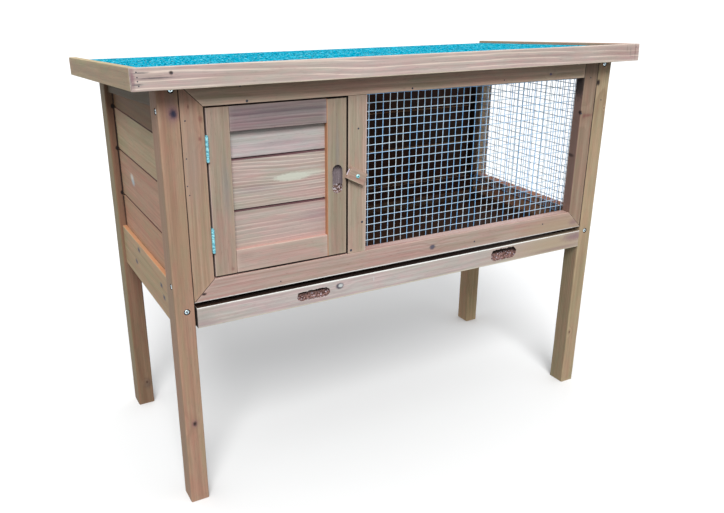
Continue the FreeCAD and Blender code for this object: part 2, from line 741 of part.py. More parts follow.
def all_parts():
    parts = {}
    for side, side_name in ((LEFT, "left"), (RIGHT, "right")):
        for end, end_name in ((FRONT, "front"), (REAR, "rear")):
            parts[f"leg_{end_name}_{side_name}"] = leg(side, end)
        parts[f"{side_name}_bottom_rail"] = side_low_rail(side)
        parts[f"{side_name}_top_rail"] = side_top_rail(side)
        parts[f"front_{side_name}_stile"] = frame_stile(side)
        parts[f"roof_end_edging_{side_name}"] = roof_end_edging(side)
        parts[f"door_{side_name}_stile"] = door_stile(side)
        parts[f"tray_side_{side_name}"] = tray_side(side)
        parts[f"tray_runner_{side_name}"] = tray_runner(side)
    for index in range(len(LEFT_BOARD_JOINTS) + 1):
        parts[f"left_board_{index + 1}"] = left_board(index)
    for index in range(len(BACK_BOARD_JOINTS) + 1):
        parts[f"back_board_{index + 1}"] = back_board(index)
    for index in range(len(DOOR_BOARD_JOINTS) + 1):
        parts[f"door_board_{index + 1}"] = door_board(index)
    for centre, name in zip(HINGE_CENTRES_Z, ("lower", "upper")):
        parts[f"hinge_{name}_frame_leaf"] = hinge_leaf(LEFT, centre)
        parts[f"hinge_{name}_door_leaf"] = hinge_leaf(RIGHT, centre)
    parts["hinge_pins"] = hinge_pins()
    parts["hinge_frame_screws"] = hinge_screws(LEFT)
    parts["hinge_door_screws"] = hinge_screws(RIGHT)
    parts["back_bottom_rail"] = back_low_rail()
    parts["back_top_rail"] = back_top_rail()
    parts["wall_battens"] = wall_battens()
    parts["partition_panel"] = partition()
    parts["partition_battens"] = partition_battens()
    parts["front_bottom_rail"] = frame_rail(FRAME_BOTTOM, OPENING_Z[0], INNER_X)
    parts["front_top_rail"] = frame_rail(FRAME_TOP, OPENING_Z[1], OPENING_X)
    parts["front_mullion"] = front_mullion()
    parts["front_mesh"] = front_mesh()
    parts["right_mesh"] = right_mesh()
    parts["mesh_staples"] = mesh_staples()
    parts["frame_screws"] = frame_screws()
    parts["roof_deck"] = roof_deck()
    parts["roof_felt"] = roof_felt()
    parts["roof_front_edging"] = roof_front_edging()
    parts["roof_nails"] = roof_nails()
    parts["door_top_rail"] = door_rail(DOOR_INNER_Z[1], DOOR_Z[1])
    parts["door_bottom_rail"] = door_rail(DOOR_Z[0], DOOR_INNER_Z[0])
    parts["turn_button"] = turn_button()
    parts["turn_button_screw"] = turn_button_screw()
    parts["turn_button_staple"] = turn_button_staple()
    parts["tray_front"] = tray_front()
    parts["tray_base"] = tray_base()
    parts["tray_back"] = tray_back()
    return parts


def main():
    os.makedirs("parts", exist_ok=True)
    for name, shape in all_parts().items():
        placed = shape.copy()
        placed.translate(V(0, SHIFT_Y, 0))
        placed.exportStep(f"parts/{name}.step")
        print(name, len(placed.Solids), placed.isValid(), round(placed.Volume))


main()
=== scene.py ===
import json
import math
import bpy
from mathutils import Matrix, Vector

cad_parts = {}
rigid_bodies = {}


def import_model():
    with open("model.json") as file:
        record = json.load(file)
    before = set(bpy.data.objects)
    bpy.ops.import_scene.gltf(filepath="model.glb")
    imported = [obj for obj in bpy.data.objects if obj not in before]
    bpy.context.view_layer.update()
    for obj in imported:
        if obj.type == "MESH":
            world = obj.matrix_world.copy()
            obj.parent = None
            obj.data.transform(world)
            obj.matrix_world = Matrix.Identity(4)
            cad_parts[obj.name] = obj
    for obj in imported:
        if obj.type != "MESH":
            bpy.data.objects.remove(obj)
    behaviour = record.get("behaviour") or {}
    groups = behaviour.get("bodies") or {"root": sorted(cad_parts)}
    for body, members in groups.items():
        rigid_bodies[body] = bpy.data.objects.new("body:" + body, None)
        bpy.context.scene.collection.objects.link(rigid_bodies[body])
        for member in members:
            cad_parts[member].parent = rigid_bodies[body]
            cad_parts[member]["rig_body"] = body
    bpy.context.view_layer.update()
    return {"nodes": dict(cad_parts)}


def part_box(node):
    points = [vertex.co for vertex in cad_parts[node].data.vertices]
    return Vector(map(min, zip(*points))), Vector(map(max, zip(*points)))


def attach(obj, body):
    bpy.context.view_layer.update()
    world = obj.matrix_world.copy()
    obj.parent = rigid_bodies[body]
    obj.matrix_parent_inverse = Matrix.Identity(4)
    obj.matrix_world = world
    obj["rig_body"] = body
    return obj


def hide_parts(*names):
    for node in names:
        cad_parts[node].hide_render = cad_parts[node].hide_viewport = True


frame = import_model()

import zlib

import bmesh
import bpy
import numpy as np
from mathutils import Euler, Matrix, Vector

# Wooden rabbit hutch: the finish of every piece, and detailed timber, nets and
# felt in the places that the frame gives. Sizes are millimetres unless a name
# says otherwise, and go out in metres.

NODES = frame["nodes"]
MM = 0.001

# The camera, as fitted to the photograph
CAMERA_PLACE = Vector((-0.6791, -1.21425, 0.8202))
CAMERA_YAW = -0.5286
CAMERA_PITCH = -0.3742
CAMERA_ROLL = 0.015
SENSOR = 36.0
LENS = 37.49
SHIFT_X = -0.0126
SHIFT_Y = 0.0110
CLIP_NEAR = 0.05
CLIP_FAR = 90

# Where the middle of the legs lies along Y in the frame
LEGS_MIDDLE_Y = -11.95


def make_camera():
    flat = math.cos(CAMERA_PITCH)
    ahead = Vector((-math.sin(CAMERA_YAW) * flat, math.cos(CAMERA_YAW) * flat, math.sin(CAMERA_PITCH)))
    right = Vector((math.cos(CAMERA_YAW), math.sin(CAMERA_YAW), 0))
    up = right.cross(ahead)
    turned_right = math.cos(CAMERA_ROLL) * right + math.sin(CAMERA_ROLL) * up
    turned_up = -math.sin(CAMERA_ROLL) * right + math.cos(CAMERA_ROLL) * up
    data = bpy.data.cameras.new("camera")
    data.sensor_fit = "HORIZONTAL"
    data.sensor_width = SENSOR
    data.lens = LENS
    data.shift_x = SHIFT_X
    data.shift_y = SHIFT_Y
    data.clip_start = CLIP_NEAR
    data.clip_end = CLIP_FAR
    camera = bpy.data.objects.new("camera", data)
    axes = Matrix((turned_right, turned_up, -ahead)).transposed().to_4x4()
    camera.matrix_world = Matrix.Translation(CAMERA_PLACE) @ axes
    bpy.context.scene.collection.objects.link(camera)
    bpy.context.scene.camera = camera


# Colours and shader trees


def tone(red, green, blue):
    """A display colour, 0 to 255, as the linear colour that a shader takes."""
    def linear(value):
        share = value / 255
        return share / 12.92 if share <= 0.04045 else ((share + 0.055) / 1.055) ** 2.4
    return (linear(red), linear(green), linear(blue), 1.0)


def deeper(colour, depth):
    """The colour with these shares of its red, green and blue."""
    return tuple(min(1.0, channel * share) for channel, share in zip(colour, depth)) + (1.0,)


class Shader:
    """Adds nodes to one tree. A value given to an input is set, and a socket is joined."""

    def __init__(self, tree):
        self.tree = tree

    def give(self, sockets, values):
        pairs = values.items() if isinstance(values, dict) else enumerate(values)
        for key, value in pairs:
            if isinstance(value, bpy.types.NodeSocket):
                self.tree.links.new(value, sockets[key])
            else:
                sockets[key].default_value = value

    def node(self, kind, values=(), **settings):
        made = self.tree.nodes.new("ShaderNode" + kind)
        for name, value in settings.items():
            setattr(made, name, value)
        self.give(made.inputs, values)
        return made

    def math(self, operation, *values):
        return self.node("Math", values, operation=operation).outputs[0]

    def times(self, first, second):
        return self.math("MULTIPLY", first, second)

    def line(self, value, slope, start):
        return self.math("MULTIPLY_ADD", value, slope, start)

    def vector(self, operation, *values):
        made = self.node("VectorMath", values, operation=operation)
        return made.outputs["Value" if operation in ("LENGTH", "DISTANCE", "DOT_PRODUCT") else "Vector"]

    def smooth(self, value, low, high, start=0.0, end=1.0):
        made = self.node("MapRange", (value, low, high, start, end), interpolation_type="SMOOTHSTEP")
        return made.outputs[0]

    def mix(self, share, first, second, blend="MIX"):
        values = {0: share, 6: first, 7: second}
        return self.node("Mix", values, data_type="RGBA", blend_type=blend).outputs[2]

    def tinted(self, colour, tint):
        return self.mix(1.0, colour, tint, "MULTIPLY")

    def noise(self, place, lengths, detail=1.0, roughness=0.5, shift=None):
        """Noise whose grain has these lengths along X, Y and Z. Noises at one place differ by their shift."""
        if shift:
            place = self.vector("ADD", place, shift)
        squeezed = self.vector("MULTIPLY", place, tuple(1 / length for length in lengths))
        values = {"Vector": squeezed, "Scale": 1.0, "Detail": detail, "Roughness": roughness}
        return self.node("TexNoise", values).outputs[0]

    def gray(self, value):
        return self.node("CombineColor", (value, value, value)).outputs[0]

    def attribute(self, name):
        return self.node("Attribute", attribute_name=name).outputs["Fac"]

    def millimetres(self):
        where = self.node("TexCoord").outputs["Object"]
        return self.vector("MULTIPLY", where, (1000.0, 1000.0, 1000.0))

    def finish(self, surface, colour, rough, bump, constants):
        """Fills a surface's sockets. bump is the relief's strength, its depth in metres and its height."""
        relief = self.node("Bump", dict(zip(("Strength", "Distance", "Height"), bump)))
        values = {"Base Color": colour, "Roughness": rough, "Normal": relief.outputs[0]}
        self.give(surface.inputs, {**values, **constants})


def new_material(name):
    material = bpy.data.materials.new(name)
    material.use_nodes = True
    tree = material.node_tree
    tree.nodes.clear()
    shader = Shader(tree)
    surface = shader.node("BsdfPrincipled")
    output = shader.node("OutputMaterial")
    tree.links.new(surface.outputs[0], output.inputs["Surface"])
    return material, shader, surface


def new_group(name, inputs, outputs):
    """A node group: its shader, its input sockets, and its output sockets to be filled. inputs and outputs
    hold the names of the sockets of each kind."""
    group = bpy.data.node_groups.new(name, "ShaderNodeTree")
    for way, kinds in (("INPUT", inputs), ("OUTPUT", outputs)):
        for kind, sockets in kinds.items():
            for socket in sockets.split():
                group.interface.new_socket(socket, in_out=way, socket_type="NodeSocket" + kind)
    given = group.nodes.new("NodeGroupInput").outputs
    final = group.nodes.new("NodeGroupOutput").inputs
    return group, Shader(group), given, final


# What a stain's colours are for: early wood, a pinker and a greener tint that drift over it, late wood, and
# the painted light on upper faces
STAIN_PARTS = ("Early", "Blush", "Shade", "Late", "Bare")


def softwood_group():
    """Stained softwood. Place is in millimetres with X along the grain. Pith holds the slant of the
    pith line and its place across the grain."""
    inputs = {
        "Vector": "Place Seed Pith", "Color": " ".join(STAIN_PARTS),
        "Float": "Ring Warp Contrast Streak Lines Swirl Arris Groove Inner Upper Seam",
    }
    outputs = {"Color": "Color", "Float": "Roughness Height"}
    group, s, g, final = new_group("stained_softwood", inputs, outputs)
    place = s.vector("ADD", g["Place"], g["Seed"])
    xyz = s.node("SeparateXYZ", (g["Place"],)).outputs
    pith = s.node("SeparateXYZ", (g["Pith"],)).outputs

    # Rings round the pith line, bent by slow and quick waves
    slow = s.math("SUBTRACT", s.noise(place, (260, 60, 60)), 0.5)
    quick = s.math("SUBTRACT", s.noise(place, (70, 9, 9)), 0.5)
    across = s.math("ADD", s.math("SUBTRACT", xyz[1], pith[1]), s.times(pith[0], xyz[0]))
    deep = s.math("SUBTRACT", xyz[2], pith[2])
    radius = s.math("SQRT", s.math("ADD", s.times(across, across), s.times(deep, deep)))
    bent = s.line(slow, g["Warp"], radius)
    bent = s.line(quick, s.times(g["Warp"], 0.2), bent)
    bent = s.math("ADD", bent, g["Swirl"])
    count = s.math("DIVIDE", bent, g["Ring"])
    part = s.math("FRACT", count)
    own = s.node("TexWhiteNoise", {"W": s.math("FLOOR", count)}, noise_dimensions="1D").outputs[0]
    rise = s.smooth(part, 0.2, 0.85)
    fall = s.smooth(part, 0.88, 1.0, 1.0, 0.0)
    late = s.times(s.times(rise, fall), s.line(own, 0.9, 0.25))
    late = s.times(late, g["Contrast"])
    start = s.times(s.smooth(part, 0.0, 0.05), s.smooth(part, 0.14, 0.24, 1.0, 0.0))
    broken = s.smooth(s.noise(place, (150, 5, 5), 2.0, shift=(0.0, 500.0, 0.0)), 0.4, 0.5)
    pale = s.times(s.times(start, broken), g["Lines"])
    pale = s.times(pale, s.smooth(own, 0.1, 0.5, 0.3, 1.0))

    # Stain that took unevenly: long streaks, wide blotches and a soft cloud
    streaks = s.noise(place, (420, 5.5, 5.5), 2.0, shift=(0.0, 11.0, 5.0))
    blotch = s.noise(place, (150, 34, 34), 2.0, shift=(300.0, 0.0, 40.0))
    cloud = s.noise(place, (80, 14, 14), 2.0, shift=(700.0, 60.0, 0.0))
    fibres = s.noise(place, (60, 0.8, 0.8), 3.0, 0.6)
    specks = s.smooth(s.noise(place, (14, 0.6, 0.6), shift=(91.0, 17.0, 5.0)), 0.66, 0.78)
    tint = s.mix(s.smooth(blotch, 0.4, 0.6), g["Blush"], g["Shade"])
    half = s.times(g["Streak"], 0.5)
    low = s.math("SUBTRACT", 0.5, half)
    high = s.math("ADD", 0.5, half)
    base = s.mix(s.smooth(streaks, 0.34, 0.66, low, high), g["Early"], tint)
    base = s.mix(s.smooth(cloud, 0.5, 0.8, 0.0, 0.4), base, g["Blush"])
    mottle = s.noise(place, (36, 8, 8), 2.0, 0.6, (150.0, 23.0, 71.0))
    hue = s.mix(s.smooth(mottle, 0.36, 0.64), (1.05, 0.985, 0.985, 1.0), (0.96, 1.015, 0.995, 1.0))
    base = s.tinted(base, hue)
    base = s.mix(late, base, g["Late"])
    base = s.mix(pale, base, s.tinted(g["Early"], (1.44, 1.42, 1.34, 1.0)))
    base = s.tinted(base, s.gray(s.line(fibres, 0.7, 0.65)))
    base = s.mix(s.times(specks, 0.4), base, s.tinted(g["Late"], tone(160, 142, 138)))

    # Colour by place: paler arrises, partly wear and partly a painted highlight; painted light on upper
    # faces; darker, violet V bevels; painted shade on sides that face the inside or lie in a gap; painted
    # shade and dirt in joints
    patch = s.smooth(s.noise(place, (34, 10, 10)), 0.38, 0.66)
    # Paler arrises: partly wear, partly a painted highlight along the rounded edges
    edge = s.tinted(g["Early"], (1.15, 1.12, 1.06, 1.0))
    base = s.mix(s.times(g["Arris"], s.line(patch, 0.5, 0.3)), base, edge)
    # Painted light: upper faces take a paler colour, as if lit from above
    base = s.mix(s.times(g["Upper"], s.line(patch, 0.3, 0.6)), base, g["Bare"])
    base = s.mix(s.times(g["Groove"], 0.95), base, s.tinted(base, tone(126, 90, 104)))
    # Painted shade on the sides that face the inside or lie in a gap
    base = s.mix(g["Inner"], base, s.tinted(base, tone(88, 62, 46)))
    # Painted shade and dirt in joints: a ragged dark line along the sides that close a joint
    ragged = s.line(s.noise(place, (30, 3, 3)), 0.5, g["Seam"])
    base = s.mix(s.smooth(ragged, 0.55, 0.95, 0.0, 0.95), base, tone(34, 22, 22))

    height = s.line(fibres, 0.5, s.line(late, -0.55, 0.6))
    height = s.line(specks, -0.35, height)
    rough = s.line(late, -0.08, s.line(fibres, 0.22, 0.55))
    s.give(final, {"Color": base, "Roughness": rough, "Height": height})
    return group


def spot_group():
    """How much of a spot covers a place, and how far it bends the rings round it."""
    inputs = {"Vector": "Place Centre Size", "Float": "Bend Soft"}
    group, s, g, final = new_group("spot", inputs, {"Float": "Cover Swirl"})
    away = s.vector("LENGTH", s.vector("DIVIDE", s.vector("SUBTRACT", g["Place"], g["Centre"]), g["Size"]))
    ragged = s.line(s.noise(g["Place"], (4.0, 1.6, 1.6), 2.0), 0.5, s.math("SUBTRACT", away, 0.25))
    cover = s.smooth(ragged, s.math("SUBTRACT", 1.0, g["Soft"]), 1.1, 1.0, 0.0)
    swirl = s.times(s.smooth(away, 0.0, 4.5, 1.0, 0.0), g["Bend"])
    s.give(final, {"Cover": cover, "Swirl": swirl})
    return group


SOFTWOOD = softwood_group()
SPOT = spot_group()

# Each stain's colours, in the order of its parts
STAINS = {
    "tan": ((196, 170, 146), (178, 138, 118), (160, 140, 112), (142, 108, 88), (206, 152, 120)),
    "rose": ((212, 186, 172), (196, 154, 142), (182, 160, 140), (160, 116, 106), (214, 160, 148)),
    "lilac": ((222, 208, 200), (200, 172, 170), (190, 176, 164), (170, 138, 138), (226, 206, 190)),
    "olive": ((182, 164, 136), (164, 134, 110), (146, 132, 102), (128, 106, 82), (206, 138, 98)),
    "gray": ((176, 162, 158), (156, 132, 134), (142, 132, 124), (118, 100, 102), (200, 180, 166)),
    "russet": ((190, 156, 132), (172, 126, 106), (158, 134, 106), (138, 96, 80), (206, 132, 92)),
    # Painted shade: the dark stain is given to the pieces inside the hutch, which lie in shade
    "dark": ((88, 66, 50), (76, 52, 40), (70, 54, 42), (54, 38, 30), (112, 76, 54)),
}

# Colours of spots in the wood, some of which paint shade and highlights
INK = tone(74, 76, 98)
NIGHT = tone(52, 54, 76)
NEAR_BLACK = tone(44, 34, 32)
GRIME = tone(88, 84, 92)
BROWN = tone(96, 66, 54)
RUST = tone(136, 84, 76)
PLUM = tone(148, 112, 122)
GRAY = tone(158, 150, 140)
CREAM = tone(224, 212, 190)
CHALK = tone(232, 232, 228)
BUTTER = tone(244, 234, 206)
GLEAM = tone(255, 252, 244)
SKY = tone(186, 206, 216)
SAND = tone(196, 172, 142)
MOSS = tone(176, 164, 130)
UMBER = tone(146, 128, 104)
HAZEL = tone(156, 126, 108)
OLIVE = tone(76, 68, 62)
AMBER = tone(214, 140, 96)
BLUSH = tone(232, 198, 184)

# Turns that lay a plank's long axis on X
LAY = {"x": (0.0, 0.0, 0.0), "y": (0.0, 0.0, -math.pi / 2), "z": (0.0, math.pi / 2, 0.0)}


# Seeds of the random draws that don't start from a name
CROSS_SEED = 21
HOLE_SEED = 400
RECESS_SEED = 70
NOTCH_SEED = 300
FRONT_NET_SEED = 11
RIGHT_NET_SEED = 12
PALE_SEED_STEP = 50
STAPLE_SEED = 900
FELT_SEED = 31


def seed_of(name):
    return zlib.crc32(name.encode()) % 100000


def wood(name, lay, stain, centre, depth=(1.0, 1.0, 1.0), ring=4.2, warp=8.0, contrast=0.22, streak=0.4,
         lines=0.0, pith=None, spots=(), bare=0.7, bump=0.4):
    """A stained softwood material for one plank. lay turns the plank's long axis onto X, centre is the
    plank's middle, and depth holds the shares of the stain's red, green and blue. lines is how strong thin
    pale lines are. A spot is its place, its size along and across the grain, how far it bends the rings,
    how soft its rim is, how strong it is, and its colour."""
    rng = np.random.default_rng(seed_of(name))
    material, s, surface = new_material(name)
    turn = Euler(lay, "XYZ").to_matrix()
    where = s.node("TexCoord").outputs["Object"]
    values = {"Vector": where, "Location": -(turn @ Vector(centre)), "Rotation": lay, "Scale": (1000.0,) * 3}
    place = s.node("Mapping", values).outputs[0]
    seed = tuple(float(v) for v in rng.uniform(-4000, 4000, 3))
    if pith is None:
        side = rng.choice((-1.0, 1.0))
        slant = rng.uniform(-0.02, 0.02)
        pith = (float(slant), float(side * rng.uniform(20, 60)), float(rng.uniform(-40, 40)))
    shades = [deeper(tone(*colour), depth) for colour in STAINS[stain]]
    values = {
        "Place": place, "Seed": seed, "Pith": pith, "Ring": ring, "Warp": warp, "Contrast": contrast,
        # Painted light on upper faces: how strongly they take the stain's pale top colour
        "Streak": streak, "Lines": lines, "Upper": s.times(s.attribute("upper"), bare),
    }
    values.update((layer.title(), s.attribute(layer)) for layer in ("arris", "groove", "inner", "seam"))
    values.update(zip(STAIN_PARTS, shades))
    covers = []
    for spot, size, bend, soft, strength, colour in spots:
        made = s.node("Group", node_tree=SPOT)
        middle = turn @ (Vector(spot) - Vector(centre))
        s.give(made.inputs, {"Place": place, "Centre": middle, "Size": size, "Bend": bend, "Soft": soft})
        covers.append((s.times(made.outputs["Cover"], strength), deeper(colour, depth)))
        if bend:
            known = values.get("Swirl")
            values["Swirl"] = s.math("ADD", known, made.outputs["Swirl"]) if known else made.outputs["Swirl"]
    made = s.node("Group", node_tree=SOFTWOOD)
    s.give(made.inputs, values)
    colour = made.outputs["Color"]
    for cover, shade in covers:
        colour = s.mix(cover, colour, shade)
    relief = (bump, 0.0005, made.outputs["Height"])
    s.finish(surface, colour, made.outputs["Roughness"], relief, {"Specular IOR Level": 0.3})
    return material


def torn_wood(name, dark, middle, chip, chips=0.58, plain_above=None):
    """Rough routed wood with pale splinters. Where a colour and a height are given last, the wood above that
    height has no splinters and has this colour: the door's recess takes its planed face there, and the tray's
    recesses a painted shadow under their upper edge."""
    material, s, surface = new_material(name)
    where = s.millimetres()
    lumps = s.noise(where, (3.2, 3.2, 3.2), 3.0, 0.65)
    flecks = s.noise(where, (3.4, 1.6, 3.4), 2.0, 0.6, (40.0, 7.0, 19.0))
    colour = s.mix(s.smooth(lumps, 0.35, 0.65), dark, middle)
    colour = s.mix(s.smooth(flecks, chips, chips + 0.1, 0.0, 0.8), colour, chip)
    if plain_above:
        grain = s.noise(where, (1.3, 1.3, 40.0), 2.0)
        even = s.mix(s.smooth(grain, 0.3, 0.7), plain_above[0], deeper(plain_above[0], (0.7, 0.66, 0.66)))
        height = s.line(lumps, 14.0, s.node("SeparateXYZ", (where,)).outputs[2])
        colour = s.mix(s.smooth(height, plain_above[1] + 6.0, plain_above[1] + 8.0), colour, even)
    s.finish(surface, colour, s.line(flecks, 0.2, 0.7), (0.9, 0.001, lumps), {"Specular IOR Level": 0.2})
    return material


def metal(name, bright, dull, metallic, rough, scale, bump=0.15, bands=None, lit=None, drive=None):
    """Zinc or steel with a mottled, slightly scratched face. bands, where given, is the step and the first
    height of painted shade across it, in the gaps between a hinge's knuckles, lit is the colour of a painted
    highlight on upper faces and of the wires that are paler than the rest, and drive is the middle of a screw
    whose head faces the front, where a painted shade stands for the drive's recess."""
    material, s, surface = new_material(name)
    where = s.millimetres()
    spangle = s.noise(where, (scale, scale, scale), 3.0, 0.6)
    grime = s.noise(where, (scale * 5, scale * 5, scale * 5), 2.0, shift=(50.0, 9.0, 3.0))
    colour = s.mix(s.smooth(spangle, 0.35, 0.7), bright, dull)
    colour = s.mix(s.smooth(grime, 0.58, 0.78, 0.0, 0.3), colour, tone(96, 92, 88))
    # Painted shade round a screw head's rim, where it sinks into its hole
    colour = s.mix(s.attribute("soot"), colour, tone(20, 26, 36))
    # Painted shade in the gaps between a hinge's knuckles
    if bands:
        height = s.math("SUBTRACT", s.node("SeparateXYZ", (where,)).outputs[2], bands[1])
        away = s.math("PINGPONG", height, bands[0] / 2)
        colour = s.mix(s.smooth(away, 0.15, 0.55, 0.5, 0.0), colour, tone(24, 72, 94))
    # Painted highlight on upper faces; some wires are also paler at random
    if lit:
        patches = s.noise(where, (26.0, 26.0, 26.0), 2.0)
        share = s.math("MAXIMUM", s.attribute("upper"), s.times(s.attribute("own"), patches))
        colour = s.mix(s.smooth(share, 0.0, 0.35), colour, lit)
    # Painted shade in the middle of a screw head, for its drive's recess
    if drive:
        offset = s.vector("MULTIPLY", s.vector("SUBTRACT", where, drive), (1.0, 0.0, 1.0))
        colour = s.mix(s.smooth(s.vector("LENGTH", offset), 0.7, 1.5, 0.9, 0.0), colour, tone(0, 84, 88))
    s.finish(surface, colour, s.line(spangle, 0.3, rough), (bump, 0.0003, spangle), {"Metallic": metallic})
    return material


def felt_material():
    """Mineral-faced roofing felt: turquoise grains, some pale and some nearly black."""
    material, s, surface = new_material("mineral_felt")
    where = s.millimetres()
    drawn = s.vector("MULTIPLY", where, (1.0, 0.5, 1.0))
    cells = s.node("TexVoronoi", {"Vector": drawn, "Scale": 0.46})
    share = s.node("SeparateColor", (cells.outputs["Color"],)).outputs
    coarse = s.noise(where, (7, 7, 7), 2.0, 0.6)
    drift = s.noise(where, (110, 60, 90), 3.0)
    colour = s.mix(s.smooth(share[0], 0.1, 0.95), tone(0, 127, 159), tone(8, 198, 232))
    colour = s.mix(s.smooth(coarse, 0.4, 0.7, 0.0, 0.4), colour, tone(0, 104, 138))
    colour = s.mix(s.smooth(drift, 0.35, 0.7, 0.0, 0.4), colour, tone(24, 184, 208))
    colour = s.mix(s.smooth(share[1], 0.82, 0.9, 0.0, 0.9), colour, tone(132, 228, 240))
    colour = s.mix(s.smooth(share[2], 0.8, 0.86, 0.0, 0.95), colour, tone(0, 50, 74))
    grain = s.smooth(cells.outputs["Distance"], 0.0, 0.7, 1.0, 0.0)
    s.finish(surface, colour, s.line(share[0], 0.15, 0.8), (0.8, 0.0006, grain), {"Specular IOR Level": 0.0})
    return material


# Solids of the frame


class Solid:
    """One closed solid of a CAD node: its points and flat faces, in millimetres."""

    def __init__(self, points, faces):
        self.points = points
        self.faces = faces
        self.low = points.min(0)
        self.high = points.max(0)
        self.middle = (self.low + self.high) / 2


def solids(node):
    """The closed solids of a CAD node, lowest X, then Y, then Z first."""
    merged = bmesh.new()
    merged.from_mesh(NODES[node].data)
    bmesh.ops.remove_doubles(merged, verts=merged.verts, dist=1e-6)
    left = set(merged.verts)
    found = []
    while left:
        queue = [left.pop()]
        members = set(queue)
        while queue:
            for edge in queue.pop().link_edges:
                for vertex in edge.verts:
                    if vertex not in members:
                        members.add(vertex)
                        queue.append(vertex)
        left -= members
        points = np.array([vertex.co for vertex in members]) / MM
        flat = []
        for face in {face for vertex in members for face in vertex.link_faces}:
            centre = np.array(face.calc_center_median()) / MM
            flat.append((np.array(face.normal), centre, face.calc_area() / MM ** 2))
        found.append(Solid(points, flat))
    merged.free()
    return sorted(found, key=lambda solid: tuple(np.round(solid.middle, 1)))


# A face is one of a solid's main ones if it has this share of the widest face's area, and is no further
# than this from being as square to the axis as the squarest
MAIN_FACE_SHARE = 0.25
MAIN_FACE_SLACK = 0.1
# A face belongs to a side from this much facing its way, and faces it squarely from this much
FACES = 0.7
FACES_SQUARELY = 0.9


def corners(solid, axes):
    """The eight corners of a solid's six main faces, as an array over low or high of each axis."""
    planes = []
    for axis in axes:
        for way in (-1, 1):
            sums = {}
            for normal, centre, area in solid.faces:
                if way * (normal @ axis) < FACES:
                    continue
                key = tuple(np.round(normal, 2)) + (round(float(normal @ centre), 1),)
                total = sums.setdefault(key, [0.0, np.zeros(3), 0.0])
                total[0] += area
                total[1] += normal * area
                total[2] += float(normal @ centre) * area
            widest = max(total[0] for total in sums.values())
            main = [total for total in sums.values() if total[0] > MAIN_FACE_SHARE * widest]
            square = [way * (total[1] @ axis) / total[0] for total in main]
            main = [total for total, share in zip(main, square) if share > max(square) - MAIN_FACE_SLACK]
            _, normal, offset = max(main, key=lambda total: total[2] / total[0])
            length = np.linalg.norm(normal)
            planes.append((normal / length, offset / length))
    found = np.zeros((2, 2, 2, 3))
    for i in range(2):
        for j in range(2):
            for k in range(2):
                chosen = (planes[i], planes[2 + j], planes[4 + k])
                found[i, j, k] = np.linalg.solve([p[0] for p in chosen], [p[1] for p in chosen])
    return found


def ripple(points, seed, waves):
    """A smooth unevenness from -1 to 1 that is the same each run: waves of these lengths."""
    rng = np.random.default_rng(seed)
    total = np.zeros(len(points))
    for wave in waves:
        for _ in range(3):
            way = rng.normal(size=3)
            way = way / np.linalg.norm(way) * 2 * math.pi / wave
            total += np.sin(points @ way + rng.uniform(0, 2 * math.pi))
    return total / (3 * len(waves))


# Timber: a plank's grid has points at these distances from an arris
ROUND_STEPS = (0.0, 0.35, 0.8, 1.4, 2.2)
BEVEL_STEPS = (0.0, 0.6, 1.3, 2.0, 2.6, 3.0, 3.4)
ALONG_CELL = 6.0
ACROSS_CELL = 4.0
ARRIS_REACH = 3.5
# Painted shade on inside faces starts this far from an arris, so that the arris stays pale
PALE_ARRIS = 1.2
# The least that is left between an arris's points or rounding and the middle of a side
STEP_MARGIN = 0.2
RADIUS_MARGIN = 0.3
WORLD_AXES = np.eye(3)

# Unevenness is this much longer along the grain than across it
GRAIN_STRETCH = 5
# How much the radius of a rounding and of a bevel varies, how deep an arris is dented, the lengths of the
# waves in the radius, in the faces and in the dents, and the shift between the first two
ROUND_VARIES = 0.35
BEVEL_VARIES = 0.08
DENT_DEEP = 0.12
RADIUS_WAVES = (23, 9)
FACE_WAVES = (61, 27)
DENT_WAVES = (19, 7)
RADIUS_SHIFT = 900
# A bevel's dark colour fades over this share of its width
GROOVE_FADE = 0.15
SHARP_ANGLE = math.radians(35)
# The higher this is, the less a sloping face counts as an upper one
UPPER_POWER = 6

# A plain plank: the rounding of its long arrises and of its ends, how wavy it is, its grid's step along it,
# how strongly painted shade darkens each side that faces the inside or lies in a gap, and for each side at a
# joint, how far the joint's painted shade and dirt reach over the faces beside it. A side is its axis and low
# or high.
PLAIN = {
    "radii": (1.0, 1.0, 1.0, 1.0), "end": 0.5, "wave": 0.22, "cell": ALONG_CELL, "inner": {}, "seams": {},
}


def grid_lines(length, cell, steps):
    near = [step for step in steps if step < length / 2 - STEP_MARGIN]
    inner = length - 2 * near[-1]
    count = max(1, round(inner / cell))
    middle = [near[-1] + inner * i / count for i in range(1, count)]
    return np.array(near + middle + [length - step for step in reversed(near)])


def box_grid(lines):
    """Points and four-sided faces of a box's surface over three lists of grid lines."""
    counts = [len(line) for line in lines]
    i, j, k = np.meshgrid(*[np.arange(n) for n in counts], indexing="ij")
    skin = np.zeros(counts, bool)
    for number, index in enumerate((i, j, k)):
        skin |= (index == 0) | (index == counts[number] - 1)
    number_of = np.full(counts, -1)
    number_of[skin] = np.arange(skin.sum())
    points = np.stack([lines[0][i[skin]], lines[1][j[skin]], lines[2][k[skin]]], axis=1)
    faces = []
    for axis in range(3):
        for end in (0, counts[axis] - 1):
            sheet = np.take(number_of, end, axis=axis)
            a, b, c, d = sheet[:-1, :-1], sheet[1:, :-1], sheet[1:, 1:], sheet[:-1, 1:]
            quads = np.stack([a, b, c, d], axis=-1).reshape(-1, 4)
            if (end == 0) != (axis == 1):
                quads = quads[:, ::-1]
            faces.append(quads)
    return points, np.concatenate(faces)


